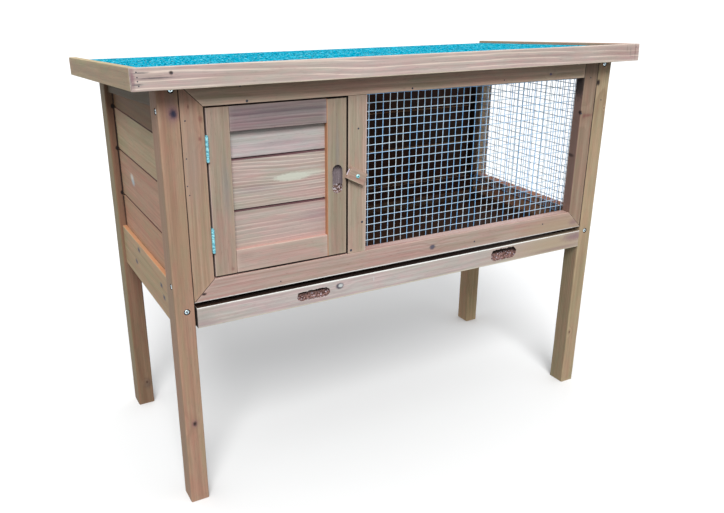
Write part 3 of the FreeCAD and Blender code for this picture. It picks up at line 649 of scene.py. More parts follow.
def between(corner, share):
    """Places inside eight corners, by their shares of the way along each axis."""
    placed = np.zeros_like(share)
    for i in range(2):
        for j in range(2):
            for k in range(2):
                weight = np.ones(len(share))
                for axis, end in enumerate((i, j, k)):
                    weight = weight * (share[:, axis] if end else 1 - share[:, axis])
                placed += weight[:, None] * corner[i, j, k]
    return placed


def side_layers(points, size, edge, shape):
    """How much painted shade each point takes on the sides that face the inside or lie in a gap, and how much
    of a joint's painted shade and dirt it takes. edge holds how far each point lies from an arris."""
    inside = np.zeros(len(points))
    for (axis, end), strength in shape["inner"].items():
        inside[(np.abs(points[:, axis] - end * size[axis]) < 1e-6) & (edge > PALE_ARRIS)] = strength
    seam = np.zeros(len(points))
    for (axis, end), wide in shape["seams"].items():
        seam = np.maximum(seam, np.clip(1 - np.abs(points[:, axis] - end * size[axis]) / wide, 0, 1))
    return inside, seam


def timber_mesh(corner, along, seed, shape):
    """A plank between eight corners: worn arrises, a slightly wavy planed face. The shape's radii are the
    rounding of the four long arrises, and a negative one is a flat bevel."""
    radii = np.array(shape["radii"])
    steps = BEVEL_STEPS if radii.min() < 0 else ROUND_STEPS
    lengths = [np.linalg.norm(np.diff(corner, axis=axis), axis=-1).mean() for axis in range(3)]
    size = np.array(lengths)
    lines = []
    for axis in range(3):
        cell, near = (shape["cell"], ROUND_STEPS) if axis == along else (ACROSS_CELL, steps)
        lines.append(grid_lines(lengths[axis], cell, near))
    points, faces = box_grid(lines)
    cross = [axis for axis in range(3) if axis != along]
    stretched = points.copy()
    stretched[:, along] /= GRAIN_STRETCH
    high_half = (points[:, cross] > size[cross] / 2).astype(int)
    which = high_half[:, 0] * 2 + high_half[:, 1]
    bevel = radii[which] < 0
    varied = ripple(stretched + RADIUS_SHIFT, seed, RADIUS_WAVES)
    varied *= np.where(bevel, BEVEL_VARIES, ROUND_VARIES)
    radius = np.minimum(np.abs(radii)[which] * (1 + varied), size.min() / 2 - RADIUS_MARGIN)
    reach = np.repeat(radius[:, None], 3, axis=1)
    reach[:, along] = shape["end"]
    inner = np.clip(points, reach, size - reach)
    away = points - inner
    ratio = np.abs(away / reach)
    flat = ratio[:, cross].sum(1)
    curved = np.hypot(ratio[:, cross[0]], ratio[:, cross[1]])
    total = np.hypot(np.where(bevel, flat, curved), ratio[:, along])
    moved = inner + away / total[:, None]
    from_faces = np.minimum(points, size - points)
    edge = np.sort(from_faces, axis=1)[:, 1]
    arris = np.clip(1 - edge / ARRIS_REACH, 0, 1)
    long_edge = from_faces[:, cross].max(1)
    fade = GROOVE_FADE * radius
    groove = np.where(bevel, np.clip((radius + fade - long_edge) / fade, 0, 1), 0)
    dip = shape["wave"] * (0.5 + 0.5 * ripple(stretched, seed + 1, FACE_WAVES))
    dip += DENT_DEEP * arris * (0.5 + 0.5 * ripple(stretched * 3, seed + 2, DENT_WAVES))
    outward = away / np.linalg.norm(away, axis=1)[:, None]
    moved -= outward * dip[:, None]
    inside, seam = side_layers(points, size, edge, shape)
    layers = {"arris": arris * ~bevel, "groove": groove, "inner": inside, "seam": seam}
    return between(corner, moved / size), faces, layers


def mesh_object(name, points, faces, layers=()):
    """A new object from points in millimetres, with one number for each point in each layer."""
    mesh = bpy.data.meshes.new(name)
    mesh.from_pydata((np.asarray(points) * MM).tolist(), [], [list(map(int, face)) for face in faces])
    for key in layers:
        layer = mesh.attributes.new(key, "FLOAT", "POINT")
        layer.data.foreach_set("value", np.asarray(layers[key], np.float32))
    mesh.shade_smooth()
    mesh.set_sharp_from_angle(angle=SHARP_ANGLE)
    made = bpy.data.objects.new(name, mesh)
    bpy.context.scene.collection.objects.link(made)
    return made


def closed_right_way(points, faces):
    """The faces, turned if the closed surface that they make is inside out."""
    first = points[faces[:, 0]]
    volume = 0.0
    for b, c in ((1, 2), (2, 3)):
        volume += np.einsum("ij,ij->i", first, np.cross(points[faces[:, b]], points[faces[:, c]])).sum()
    return faces[:, ::-1] if volume < 0 else faces


def mark_upper(made):
    """Writes how far each point faces up."""
    mesh = made.data
    normals = np.zeros(len(mesh.vertices) * 3, np.float32)
    mesh.vertex_normals.foreach_get("vector", normals)
    upper = np.clip(normals.reshape(-1, 3)[:, 2], 0, 1) ** UPPER_POWER
    mesh.attributes.new("upper", "FLOAT", "POINT").data.foreach_set("value", upper.astype(np.float32))


def turned_axes(about, angle):
    turn = Matrix.Rotation(angle, 3, about)
    return np.array([turn @ Vector(axis) for axis in WORLD_AXES])


def roof_axes():
    """The world's axes, tilted with the roof's slope as the deck's top face gives it."""
    deck = solids("roof_deck")[0]
    normal = max(deck.faces, key=lambda face: face[2] * (face[0][2] > FACES_SQUARELY))[0]
    tilt = math.atan2(normal[1], normal[2])
    return turned_axes("X", -tilt), tilt


ROOF_AXES, ROOF_TILT = roof_axes()

# How far the turn-button's long axis dips to the right
BUTTON_DIP = math.radians(28.4)


def joined(meshes):
    """Several point and face lists as one."""
    points, faces, start = [], [], 0
    for one_points, one_faces in meshes:
        points.append(one_points)
        faces += [tuple(start + i for i in face) for face in one_faces]
        start += len(one_points)
    return np.concatenate(points), faces


def timber(node, along, axes, shape):
    """Detailed timber in the place of a CAD node, one plank for each of its solids."""
    meshes, all_layers = [], []
    full_shape = {**PLAIN, **shape}
    for number, solid in enumerate(solids(node)):
        corner = corners(solid, axes)
        points, faces, layers = timber_mesh(corner, "xyz".index(along), seed_of(node) + number, full_shape)
        meshes.append((points, closed_right_way(points, faces)))
        all_layers.append(layers)
    layers = {key: np.concatenate([one[key] for one in all_layers]) for key in all_layers[0]}
    made = mesh_object(node + "_timber", *joined(meshes), layers)
    mark_upper(made)
    return made


def finish_piece(piece, node, material):
    piece.data.materials.clear()
    piece.data.materials.append(material)
    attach(piece, NODES[node]["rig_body"])
    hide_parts(node)
    return piece


def middle_of(node):
    low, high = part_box(node)
    return tuple((low + high) / 2 / MM)


def box_of(node):
    """A node's low and high corners in millimetres."""
    return [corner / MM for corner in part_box(node)]


def front_spot(node, x, z):
    """A place on a piece's front face."""
    return (x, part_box(node)[0].y / MM, z)


def left_spot(node, y, z):
    """A place on a piece's left face, with Y from the middle of the legs."""
    return (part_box(node)[0].x / MM, y + LEGS_MIDDLE_Y, z)


# The radii of boards with V joints, by the board's number. Board 3 of the left wall is like board 2.
LEFT_V = {1: (0.3, -1.5, 0.5, 0.5), 2: (-1.0, -1.5, 0.5, 0.5), 4: (-1.0, 0.3, 0.5, 0.5)}
DOOR_V = {1: (0.3, -2.6, 0.5, 0.5), 2: (-1.2, -2.6, 0.5, 0.5), 3: (-1.2, 0.3, 0.5, 0.5)}
BACK_V = {1: (0.5, 0.5, 0.3, -2.4), 2: (0.5, 0.5, -2.4, -2.4), 3: (0.5, 0.5, -2.4, 0.3)}

# Sides of a piece, as its axis and low or high
LEFT, RIGHT = (0, 0), (0, 1)
FRONT, BACK = (1, 0), (1, 1)
BELOW, ABOVE = (2, 0), (2, 1)

# Painted shade on the inside faces, and painted shade and dirt in the joints, of the left wall's upper boards
LEFT_BOARD = {"inner": {RIGHT: 1.0}, "seams": {BELOW: 2.0, BACK: 13.0}}

# A mark in the stain reaches this deep into the wood, and a knot is this much longer along the grain
MARK_DEEP = 8.0
KNOT_LONG = 1.3
# A lit arris's line is this many times as long as the piece, so that it doesn't fade at the ends
LIT_PAST_ENDS = 1.3
# Half the height of painted shade and light on an upper face, how far behind the arris it starts, and half a
# crack's height
TOP_HALF = 1.5
TOP_BEHIND = 1.6
CRACK_HALF = 1.5


def flat_spot(place, size, colour, strength=0.7, soft=0.5):
    """A spot, as wood takes it, that leaves the rings as they are."""
    return (place, size, 0.0, soft, strength, colour)


# The functions from here to dark_line each make one spot on a node


def front_stain(node, x, z, size, *details):
    return (front_spot(node, x, z), size, *details)


def side_stain(node, y, z, size, *details):
    return (left_spot(node, y, z), size, *details)


def knot(node, x, z, across=2.6, colour=INK, bend=5.0, soft=0.6, strength=0.85):
    return front_stain(node, x, z, (across * KNOT_LONG, across, across), bend, soft, strength, colour)


def stain_mark(node, a, z, size, colour, soft=0.5, strength=0.7, spot=front_spot):
    """size is half the mark's length along the grain and half its width across it."""
    return flat_spot(spot(node, a, z), (size[0], MARK_DEEP, size[1]), colour, strength, soft)


def side_mark(*values):
    return stain_mark(*values, spot=left_spot)


# An edge stain reaches this far up and down, and this far in from the front
EDGE_LONG = 400.0
EDGE_DEEP = 60.0


def edge_stain(node, side, wide, colour, strength=0.7, height=None, half=EDGE_LONG):
    """A stain on an upright piece's left or right side, and this far over its front. It is on the whole side,
    or this far up and down from a height. Some of these are painted shade and painted highlights, as said
    where they are given."""
    low, high = box_of(node)
    x = low.x if side == LEFT else high.x
    middle = (low + high) / 2
    return flat_spot((x, middle.y, height or middle.z), (half, EDGE_DEEP, wide), colour, strength)


def lit_arris(node, side, colour, strength=0.8, wide=1.9):
    """A pale line along the lower or upper front arris of a level piece."""
    low, high = box_of(node)
    z = low.z if side == BELOW else high.z
    half = (high.x - low.x) / 2
    size = (LIT_PAST_ENDS * half, wide, wide)
    return flat_spot(((low.x + high.x) / 2, low.y, z), size, colour, strength, 0.3)


def top_shade_and_light(node, x, half, colour, strength):
    """Painted shade and light on a level piece's upper face, behind its front arris: a dark colour paints
    shade and a pale one light. half is half its length.
    """
    low, high = box_of(node)
    deep = (high.y - low.y) / 2
    return flat_spot((x, low.y + deep + TOP_BEHIND, high.z), (half, deep, TOP_HALF), colour, strength, 0.3)


def dark_line(node, x, z, half):
    """A fine dark crack along a level piece's front. half is half its length."""
    return stain_mark(node, x, z, (half, CRACK_HALF), GRIME, 0.8, 0.75)


def plank(along, slot, stain, depth=(1.0, 1.0, 1.0), *spots, **details):
    """A table's row. Of the details, those that a plain plank has too are its shape, and the others are its
    figure."""
    shape = {key: value for key, value in details.items() if key in PLAIN}
    figure = {key: value for key, value in details.items() if key not in PLAIN}
    return along, slot, stain, depth, spots, figure, shape


# What each timber piece is: its grain's way, its slot, its stain, the shares of the stain's red, green and
# blue, its spots, and how its figure and its shape differ from the plain ones. A spot is the function that
# makes it, and what that function takes after the node.
TIMBERS = {
    "leg_front_left": plank(
        "z", "leg_wood", "tan", (0.9, 0.825, 0.82),
        (stain_mark, -401.0, 640.0, (34.0, 11.0), PLUM, 0.95, 0.45),
        (knot, -398.4, 634.0, 11.0, PLUM, 7.0, 0.95, 0.75),
        (knot, -398.4, 634.0, 6.8, NIGHT, 0.0, 0.85, 1.0),
        (knot, -404.2, 146.8, 8.0, PLUM, 5.0, 0.95, 0.6),
        (knot, -404.2, 146.8, 4.4, NEAR_BLACK, 0.0, 0.85, 0.95),
        (stain_mark, -412.0, 250.0, (120.0, 7.0), MOSS, 0.95, 0.5),
        (stain_mark, -398.0, 460.0, (110.0, 9.0), MOSS, 0.95, 0.4),
        (stain_mark, -394.0, 90.0, (70.0, 8.0), MOSS, 0.95, 0.5),
        (edge_stain, LEFT, 1.6, UMBER, 0.45),
        pith=(0.004, 34.0, -8.0), radii=(2.0,) * 4,
    ),
    "leg_front_right": plank(
        "z", "leg_wood", "olive", (1.1, 1.1, 1.08),
        # Painted shade along the right arris
        (edge_stain, RIGHT, 2.0, UMBER, 0.6),
        (knot, 392.4, 630.5, 5.4, NEAR_BLACK, 3.0, 0.7, 1.0),
        (knot, 415.0, 582.0, 1.6, BROWN, 3.0),
        (knot, 396.0, 118.0, 2.6, BROWN),
        contrast=0.4, radii=(2.0,) * 4,
    ),
    "leg_rear_left": plank(
        "z", "leg_wood", "russet", (0.58, 0.55, 0.52),
        (edge_stain, LEFT, 2.2, MOSS, 0.9),
        # Painted shade along the right edge, beside the boards
        (edge_stain, RIGHT, 2.2, BROWN, 0.8),
        # Painted shadow: a dark line on the front face where the wall boards' ends meet the leg
        (stain_mark, -407.4, 510.0, (190.0, 1.7), NEAR_BLACK, 0.7, 0.9),
        # Painted shade: dark spots at the heights of the wall's joints, for the dark notches there
        (knot, -408.4, 439.5, 3.6, NEAR_BLACK, 0.0, 0.5, 1.0),
        (knot, -408.4, 520.5, 3.8, NEAR_BLACK, 0.0, 0.5, 1.0),
        (knot, -408.4, 593.5, 4.2, NEAR_BLACK, 0.0, 0.5, 1.0),
        (stain_mark, -399.2, 44.0, (16.0, 12.0), GRIME, 0.95, 0.4),
        (knot, -401.0, 47.5, 2.6, BROWN),
        radii=(2.0,) * 4,
    ),
    "leg_rear_right": plank(
        "z", "leg_wood", "olive", (1.3, 1.2, 1.12),
        (front_stain, 405.0, 500.0, (220.0, 20.0, 60.0), 0.0, 0.4, 0.7, SAND),
        radii=(2.0,) * 4,
    ),
    "front_top_rail": plank(
        # Painted light: this rail's stain is made much paler to offset the fascia's shadow on it
        "x", "front_frame_wood", "olive", (1.6, 1.56, 1.85),
        (knot, 274.2, 651.3, 3.0),
        streak=0.6, seams={LEFT: 1.3, RIGHT: 0.8, BELOW: 1.3},
    ),
    "front_bottom_rail": plank(
        "x", "front_frame_wood", "rose", (0.86, 0.88, 0.92),
        (front_stain, 330.0, 360.0, (150.0, 40.0, 34.0), 0.0, 0.9, 0.8, SAND),
        (stain_mark, 372.0, 364.0, (20.0, 9.0), PLUM, 0.95, 0.55),
        (stain_mark, 210.0, 362.0, (40.0, 7.0), CREAM, 0.95, 0.3),
        (knot, 37.5, 368.5, 5.6),
        (stain_mark, -374.0, 363.6, (4.6, 2.6), NEAR_BLACK, 0.6, 0.95),
        (lit_arris, BELOW, GLEAM, 0.9, 2.8),
        # Painted shade on the top face under the door, and painted light on the lit top face beside the net
        (top_shade_and_light, -243.5, 118.0, NEAR_BLACK, 0.95),
        (top_shade_and_light, 129.0, 222.0, BLUSH, 0.8),
        streak=0.7, seams={LEFT: 1.3, RIGHT: 0.5},
    ),
    "front_left_stile": plank(
        "z", "front_frame_wood", "tan", (1.0, 0.955, 0.98),
        (stain_mark, -376.0, 560.0, (90.0, 16.0), GRAY, 0.95, 0.4),
        (knot, -364.0, 596.6, 3.4, RUST, 5.0, 0.9, 0.7),
        (stain_mark, -361.5, 624.0, (7.0, 4.5), RUST, 0.9, 0.6),
        (stain_mark, -377.5, 641.7, (4.5, 2.0), BROWN, 0.8, 0.6),
        seams={LEFT: 2.2, RIGHT: 1.3, BELOW: 1.3, ABOVE: 1.3},
    ),
    "front_right_stile": plank(
        "z", "front_frame_wood", "olive", (0.9, 0.85, 0.94),
        (edge_stain, LEFT, 1.2, HAZEL, 0.9),
        # Painted shade from the fascia at the top of the left side
        (edge_stain, LEFT, 1.4, OLIVE, 0.95, 650.0, 56.0),
        # Painted shadow: a dark line where the stile meets the leg
        (stain_mark, 389.5, 610.0, (70.0, 2.4), NEAR_BLACK, 0.8, 0.9),
        (side_stain, -186.0, 577.6, (5.0, 6.0, 3.6), 0.0, 0.6, 1.0, NEAR_BLACK),
        (side_stain, -174.0, 495.6, (5.0, 11.0, 3.0), 0.0, 0.8, 0.7, NEAR_BLACK),
        (stain_mark, 376.0, 571.5, (4.5, 15.0), RUST, 0.95, 0.65),
        (knot, 366.0, 571.0, 5.4, RUST, 5.0, 0.9, 0.7),
        # Painted shade from the fascia at the top of the front
        (stain_mark, 370.0, 640.0, (50.0, 24.0), UMBER, 0.95, 0.5),
        contrast=0.35, seams={RIGHT: 6.0, BELOW: 0.6},
    ),
    "front_mullion": plank(
        "z", "front_frame_wood", "tan", (1.04, 1.15, 1.3),
        # Painted highlight along the right arris, next to the net
        (edge_stain, RIGHT, 2.6, BLUSH, 0.6),
        streak=0.3, inner={LEFT: 0.8}, seams={LEFT: 1.3},
    ),
    "left_bottom_rail": plank(
        "y", "side_rail_wood", "olive", (1.12, 1.05, 0.98),
        (side_mark, 38.8, 366.9, (12.0, 5.4), INK, 0.7, 0.9),
        (side_mark, 64.0, 337.6, (12.0, 5.4), INK, 0.7, 0.9),
        (side_mark, -96.1, 352.1, (9.5, 5.4), INK, 0.7, 0.9),
        (side_mark, -107.3, 335.4, (9.5, 5.4), INK, 0.7, 0.9),
        bare=0.7,
    ),
    "right_bottom_rail": plank("y", "side_rail_wood", "russet", (1.1, 0.92, 0.85)),
    "back_bottom_rail": plank(
        "x", "side_rail_wood", "tan", (0.8, 0.7, 0.7), bare=0.0, inner={FRONT: 1.0, ABOVE: 1.0}
    ),
    "back_top_rail": plank(
        "x", "side_rail_wood", "tan", (0.8, 0.7, 0.7), bare=0.0, inner={FRONT: 1.0, ABOVE: 1.0}
    ),
    "left_board_1": plank(
        "y", "wall_board_wood", "russet", (1.1, 1.03, 0.98),
        radii=LEFT_V[1], inner={RIGHT: 1.0}, seams={BELOW: 2.2, BACK: 13.0},
    ),
    "left_board_2": plank(
        "y", "wall_board_wood", "russet", (1.05, 1.05, 1.05),
        (side_mark, 65.0, 487.0, (15.0, 9.0), CHALK, 0.9, 0.75),
        (side_mark, 60.0, 480.0, (14.0, 8.0), SKY, 0.9, 0.8),
        radii=LEFT_V[2], **LEFT_BOARD,
    ),
    "left_board_3": plank(
        "y", "wall_board_wood", "olive", (1.25, 1.26, 1.24),
        (side_mark, 110.0, 590.0, (110.0, 24.0), RUST, 0.95, 0.3),
        radii=LEFT_V[2], **LEFT_BOARD,
    ),
    "left_board_4": plank(
        # Partly a darker stain, partly painted shade from the roof's left overhang
        "y", "wall_board_wood", "olive", (0.41, 0.29, 0.19),
        radii=LEFT_V[4], **LEFT_BOARD,
    ),
    "back_board_1": plank(
        "x", "wall_board_wood", "tan", (1.15, 0.95, 0.75), radii=BACK_V[1], inner={FRONT: 1.0}
    ),
    "back_board_2": plank(
        "x", "wall_board_wood", "olive", (1.2, 1.0, 0.8), radii=BACK_V[2], inner={FRONT: 1.0}
    ),
    "back_board_3": plank(
        "x", "wall_board_wood", "tan", (1.25, 1.0, 0.8), radii=BACK_V[3], inner={FRONT: 1.0}
    ),
    # Painted shade: the pieces inside the hutch take the dark stain
    "wall_battens": plank("z", "wall_board_wood", "dark"),
    "partition_battens": plank("z", "wall_board_wood", "dark"),
    "tray_runner_left": plank("y", "side_rail_wood", "dark"),
    "tray_runner_right": plank("y", "side_rail_wood", "dark"),
    "door_left_stile": plank(
        "z", "door_frame_wood", "tan", (0.9, 0.98, 1.1),
        (stain_mark, -330.0, 520.0, (60.0, 9.0), GRAY, 0.95, 0.5),
        (knot, -327.0, 395.5, 3.2, RUST, 4.0, 0.9, 0.5),
        # Painted highlight along the left arris, beside the door's gap
        (edge_stain, LEFT, 1.2, BLUSH, 0.4),
        streak=0.3, inner={LEFT: 0.8, ABOVE: 0.8}, seams={BELOW: 1.0},
    ),
    "door_right_stile": plank(
        "z", "door_frame_wood", "tan", (0.85, 0.95, 1.04),
        (stain_mark, -149.0, 560.0, (60.0, 5.0), GRAY, 0.95, 0.5),
        (edge_stain, LEFT, 1.5, AMBER, 0.85),
        streak=0.3, inner={ABOVE: 0.8}, seams={RIGHT: 1.3, ABOVE: 1.3, BELOW: 1.3},
    ),
    "door_top_rail": plank(
        "x", "door_frame_wood", "gray", (0.93, 0.91, 0.95),
        (stain_mark, -235.0, 626.0, (160.0, 9.0), GRIME, 0.95, 0.35),
        streak=0.6, contrast=0.6, ring=3.0, inner={ABOVE: 0.8}, seams={BELOW: 1.0},
    ),
    "door_bottom_rail": plank("x", "door_frame_wood", "rose", (0.9, 0.96, 1.0), seams={BELOW: 1.0}),
    "door_board_1": plank(
        "x", "door_board_wood", "rose", (0.94, 1.04, 1.14),
        (stain_mark, -175.0, 458.0, (46.0, 16.0), PLUM, 0.95, 0.35),
        lines=0.4, ring=7.0, pith=(0.03, -18.0, 50.0), radii=DOOR_V[1], seams={RIGHT: 1.3},
    ),
    "door_board_2": plank(
        "x", "door_board_wood", "rose", (0.96, 1.12, 1.22),
        (front_stain, -222.0, 524.2, (34.0, 8.0, 6.8), -2.5, 0.35, 0.85, CREAM),
        (front_stain, -192.0, 527.4, (50.0, 8.0, 6.5), 0.0, 0.95, 0.55, CREAM),
        (stain_mark, -285.0, 513.0, (46.0, 9.0), PLUM, 0.95, 0.3),
        streak=0.6, contrast=0.35, lines=0.6, ring=4.4, warp=10.0, pith=(0.03, 22.0, 60.0), radii=DOOR_V[2],
        seams={BELOW: 1.2, RIGHT: 1.3},
    ),
    "door_board_3": plank(
        "x", "door_board_wood", "lilac", (0.92, 1.0, 1.06),
        (stain_mark, -235.0, 578.0, (60.0, 7.0), PLUM, 0.95, 0.22),
        streak=0.45, radii=DOOR_V[3], seams={BELOW: 1.2, RIGHT: 1.3},
    ),
    "tray_front": plank(
        "x", "tray_wood", "lilac", (0.9, 0.94, 0.97),
        (front_stain, 320.0, 325.0, (200.0, 40.0, 44.0), 0.0, 0.95, 0.85, SAND),
        (knot, -146.2, 332.0, 6.2, GRIME, 4.0, 0.4, 0.95),
        (knot, -144.6, 332.4, 4.0, CHALK, 0.0, 0.6, 0.9),
        (stain_mark, -81.4, 332.3, (1.0, 5.5), CHALK),
        (stain_mark, 376.0, 334.0, (44.0, 13.0), PLUM, 0.95, 0.7),
        (stain_mark, 330.0, 316.0, (90.0, 5.0), PLUM, 0.95, 0.4),
        (stain_mark, -390.0, 325.0, (40.0, 26.0), GRAY, 0.95, 0.3),
        # Painted shade on the top face, in the gap under the frame
        (top_shade_and_light, 0.0, 460.0, NEAR_BLACK, 0.8),
        (lit_arris, ABOVE, GLEAM, 0.95, 2.0),
        (lit_arris, BELOW, BUTTER, 0.8, 2.4),
        streak=0.6, bare=0.0, inner={ABOVE: 1.0}, seams={LEFT: 1.3},
    ),
    # Painted shade: the tray's hidden parts take the dark stain, its base darker still
    "tray_back": plank("x", "tray_wood", "dark"),
    "tray_side_left": plank("y", "tray_wood", "dark"),
    "tray_side_right": plank("y", "tray_wood", "dark"),
    "tray_base": plank("x", "tray_ply", "dark", (0.4, 0.34, 0.34), radii=(0.4,) * 4, cell=18.0),
    "roof_front_edging": plank(
        "x", "roof_edging_wood", "lilac", (0.92, 0.905, 0.895),
        (stain_mark, 420.0, 690.0, (100.0, 22.0), RUST, 0.95, 0.34),
        (stain_mark, 250.0, 690.0, (150.0, 20.0), BROWN, 0.95, 0.14),
        (stain_mark, 446.0, 688.0, (2.0, 22.0), BROWN, 0.9, 0.4),
        (stain_mark, 434.0, 686.0, (1.6, 14.0), GRIME, 0.9, 0.35),
        (stain_mark, 425.0, 692.0, (1.6, 10.0), BROWN, 0.9, 0.3),
        (stain_mark, -455.0, 688.0, (5.0, 24.0), PLUM, 0.9, 0.8),
        (stain_mark, -404.8, 691.6, (3.6, 3.4), NEAR_BLACK, 0.7, 0.95),
        (dark_line, -443.0, 693.4, 16.0),
        (dark_line, -425.0, 686.2, 34.0),
        (dark_line, -449.0, 679.0, 9.0),
        (lit_arris, BELOW, BUTTER, 0.9, 2.4),
        (lit_arris, ABOVE, CREAM, 0.6),
        streak=0.5, contrast=0.3, lines=0.6, ring=7.5, warp=12.0, pith=(0.02, 26.0, 44.0),
    ),
}

# The same, for pieces that lie along the roof's slope
SLOPED = {
    # Partly a darker stain, partly painted shade from the roof's left overhang
    "left_top_rail": plank("y", "side_rail_wood", "olive", (0.18, 0.155, 0.1), seams={BELOW: 1.3}),
    "right_top_rail": plank("y", "side_rail_wood", "tan"),
    "roof_end_edging_left": plank(
        "y", "roof_edging_wood", "gray", (1.19, 1.17, 0.79),
        (side_stain, -60.0, 700.0, (60.0, 30.0, 9.0), 0.0, 0.95, 0.35, AMBER),
        (side_stain, 90.0, 704.0, (50.0, 30.0, 8.0), 0.0, 0.95, 0.3, AMBER),
        streak=0.35,
    ),
    "roof_end_edging_right": plank("y", "roof_edging_wood", "russet"),
    # Painted shade: the deck's underside lies inside, so it takes the dark stain
    "roof_deck": plank("x", "deck_board", "dark", radii=(0.4,) * 4, cell=18.0),
}

# The same, for the turn-button
SLANTED = {
    "turn_button": plank(
        "x", "button_wood", "rose", (0.82, 0.8, 0.78),
        # Painted highlight along the lower arris
        (front_stain, -123.2, 507.3, (22.0, 2.0, 1.5), 0.0, 0.4, 0.9, BUTTER),
        ring=2.4, streak=0.2, radii=(0.8,) * 4, cell=2.0,
    ),
}


def make_timbers():
    made = {}
    tables = (
        (TIMBERS, WORLD_AXES, (0.0, 0.0)),
        (SLOPED, ROOF_AXES, (ROOF_TILT, 0.0)),
        (SLANTED, turned_axes("Y", BUTTON_DIP), (0.0, -BUTTON_DIP)),
    )
    for table, axes, (tilt, dip) in tables:
        for node, (along, slot, stain, depth, spots, figure, shape) in table.items():
            piece = timber(node, along, axes, shape)
            lay = (tilt, LAY[along][1] + dip, LAY[along][2])
            made_spots = [make(node, *values) for make, *values in spots]
            material = wood(node + "_wood", lay, stain, middle_of(node), depth, spots=made_spots, **figure)
            made[node] = finish_piece(piece, node, material)
    return made


# Cuts: ragged screw holes and torn finger recesses


def carve(piece, name, meshes, material):
    """Cuts closed meshes out of a piece. The cut faces take the material."""
    cutter = mesh_object(name, *joined(meshes))
    cutter.data.materials.append(material)
    modifier = piece.modifiers.new("cut", "BOOLEAN")
    modifier.operation = "DIFFERENCE"
    modifier.solver = "EXACT"
    modifier.material_mode = "TRANSFER"
    modifier.object = cutter
    graph = bpy.context.evaluated_depsgraph_get()
    cut = bpy.data.meshes.new_from_object(piece.evaluated_get(graph))
    piece.modifiers.clear()
    piece.data = cut
    cut.shade_smooth()
    cut.set_sharp_from_angle(angle=SHARP_ANGLE)
    bpy.data.objects.remove(cutter)


def rings_mesh(rings):
    """A closed surface through rings of the same number of points, capped at both ends."""
    count = len(rings[0])
    points = np.concatenate(rings)
    faces = [tuple(range(count))[::-1]]
    for row in range(len(rings) - 1):
        for i in range(count):
            j = (i + 1) % count
            a = row * count
            faces.append((a + i, a + j, a + count + j, a + count + i))
    last = (len(rings) - 1) * count
    faces.append(tuple(last + i for i in range(count)))
    middle = points.mean(0)
    volume = 0.0
    for face in faces:
        a, b, c = (points[i] - middle for i in (face[0], face[len(face) // 3], face[2 * len(face) // 3]))
        volume += a @ np.cross(b, c)
    return points, faces if volume > 0 else [face[::-1] for face in faces]


def across_of(way):
    """Two ways at right angles to a way, so that the three are right-handed."""
    way = np.asarray(way, float)
    side = np.cross((0.0, 0.0, 1.0), way)
    side /= np.linalg.norm(side)
    return side, np.cross(way, side)


def angles_round(count):
    return np.arange(count) * 2 * math.pi / count


def circle(side, up, count):
    """Points round a circle of radius 1 in the plane of two ways."""
    angles = angles_round(count)[:, None]
    return np.cos(angles) * side + np.sin(angles) * up


# Radius and depth of a countersink's rings, from outside the wood inwards
HOLE_RINGS = ((5.7, -1.0), (5.1, -0.05), (4.6, 0.35), (4.3, 0.9), (3.4, 2.4), (1.0, 2.8))
HOLE_SIDES = 28
# Its ragged rim: how many of each wave go round it and how strong they are, the size of its splinters, how
# much the rim takes of both, and the depth at which it ends
HOLE_WAVES = ((2, 0.5), (3, 0.35), (7, 0.3))
HOLE_SPLINTERS = 0.25
HOLE_RAGGED = 0.75
HOLE_RAGGED_TO = 0.45


def screw_places():
    """Where each screw's head enters its leg, and the way in."""
    places = []
    for solid in solids("frame_screws"):
        axis = int(np.argmax(solid.high - solid.low))
        centre = (0.0, LEGS_MIDDLE_Y, 0.0)[axis]
        outward = 1 if solid.middle[axis] > centre else -1
        place = solid.middle.copy()
        place[axis] = solid.high[axis] if outward > 0 else solid.low[axis]
        way = np.zeros(3)
        way[axis] = -outward
        places.append((place, way))
    return places


def hole_mesh(place, way, seed):
    rng = np.random.default_rng(seed)
    angles = angles_round(HOLE_SIDES)
    ragged = np.zeros(HOLE_SIDES)
    for phase, (waves, strength) in zip(rng.uniform(0, 2 * math.pi, len(HOLE_WAVES)), HOLE_WAVES):
        ragged += strength * np.sin(waves * angles + phase)
    ragged += rng.normal(0, HOLE_SPLINTERS, HOLE_SIDES)
    about = circle(*across_of(way), HOLE_SIDES)
    rings = []
    for radius, depth in HOLE_RINGS:
        reach = radius + HOLE_RAGGED * np.clip(HOLE_RAGGED_TO - depth, 0.0, 0.5) * ragged
        rings.append(place + reach[:, None] * about + way * depth)
    return rings_mesh(rings)


# How far a screw's head lies below the wood's face
SCREW_SUNK = 0.5
# Radius, depth from the head's top and painted rim shade of a screw's rings, then its cross
SCREW_RINGS = (
    (1.4, -0.12, 0.0), (2.7, -0.06, 0.0), (3.2, 0.12, 0.1), (3.6, 0.5, 1.0),
    (3.95, 1.0, 1.0), (2.0, 2.9, 1.0), (1.9, 42.0, 1.0), (0.3, 47.0, 1.0),
)
CROSS_REACH = 2.3
CROSS_HALF = 0.6
CROSS_DEEP = 1.5


def cross_mesh(place, way, turn):
    """A cross-shaped cutter for a screw's head."""
    side, up = across_of(way)
    outline = [(CROSS_REACH, -CROSS_HALF), (CROSS_REACH, CROSS_HALF), (CROSS_HALF, CROSS_HALF)]
    for _ in range(3):
        outline += [(-v, u) for u, v in outline[-3:]]
    ways = (math.cos(turn) * side + math.sin(turn) * up, math.cos(turn) * up - math.sin(turn) * side)
    rings = []
    for depth in (-1.0, CROSS_DEEP):
        rings.append(np.array([place + u * ways[0] + v * ways[1] + way * depth for u, v in outline]))
    return rings_mesh(rings)


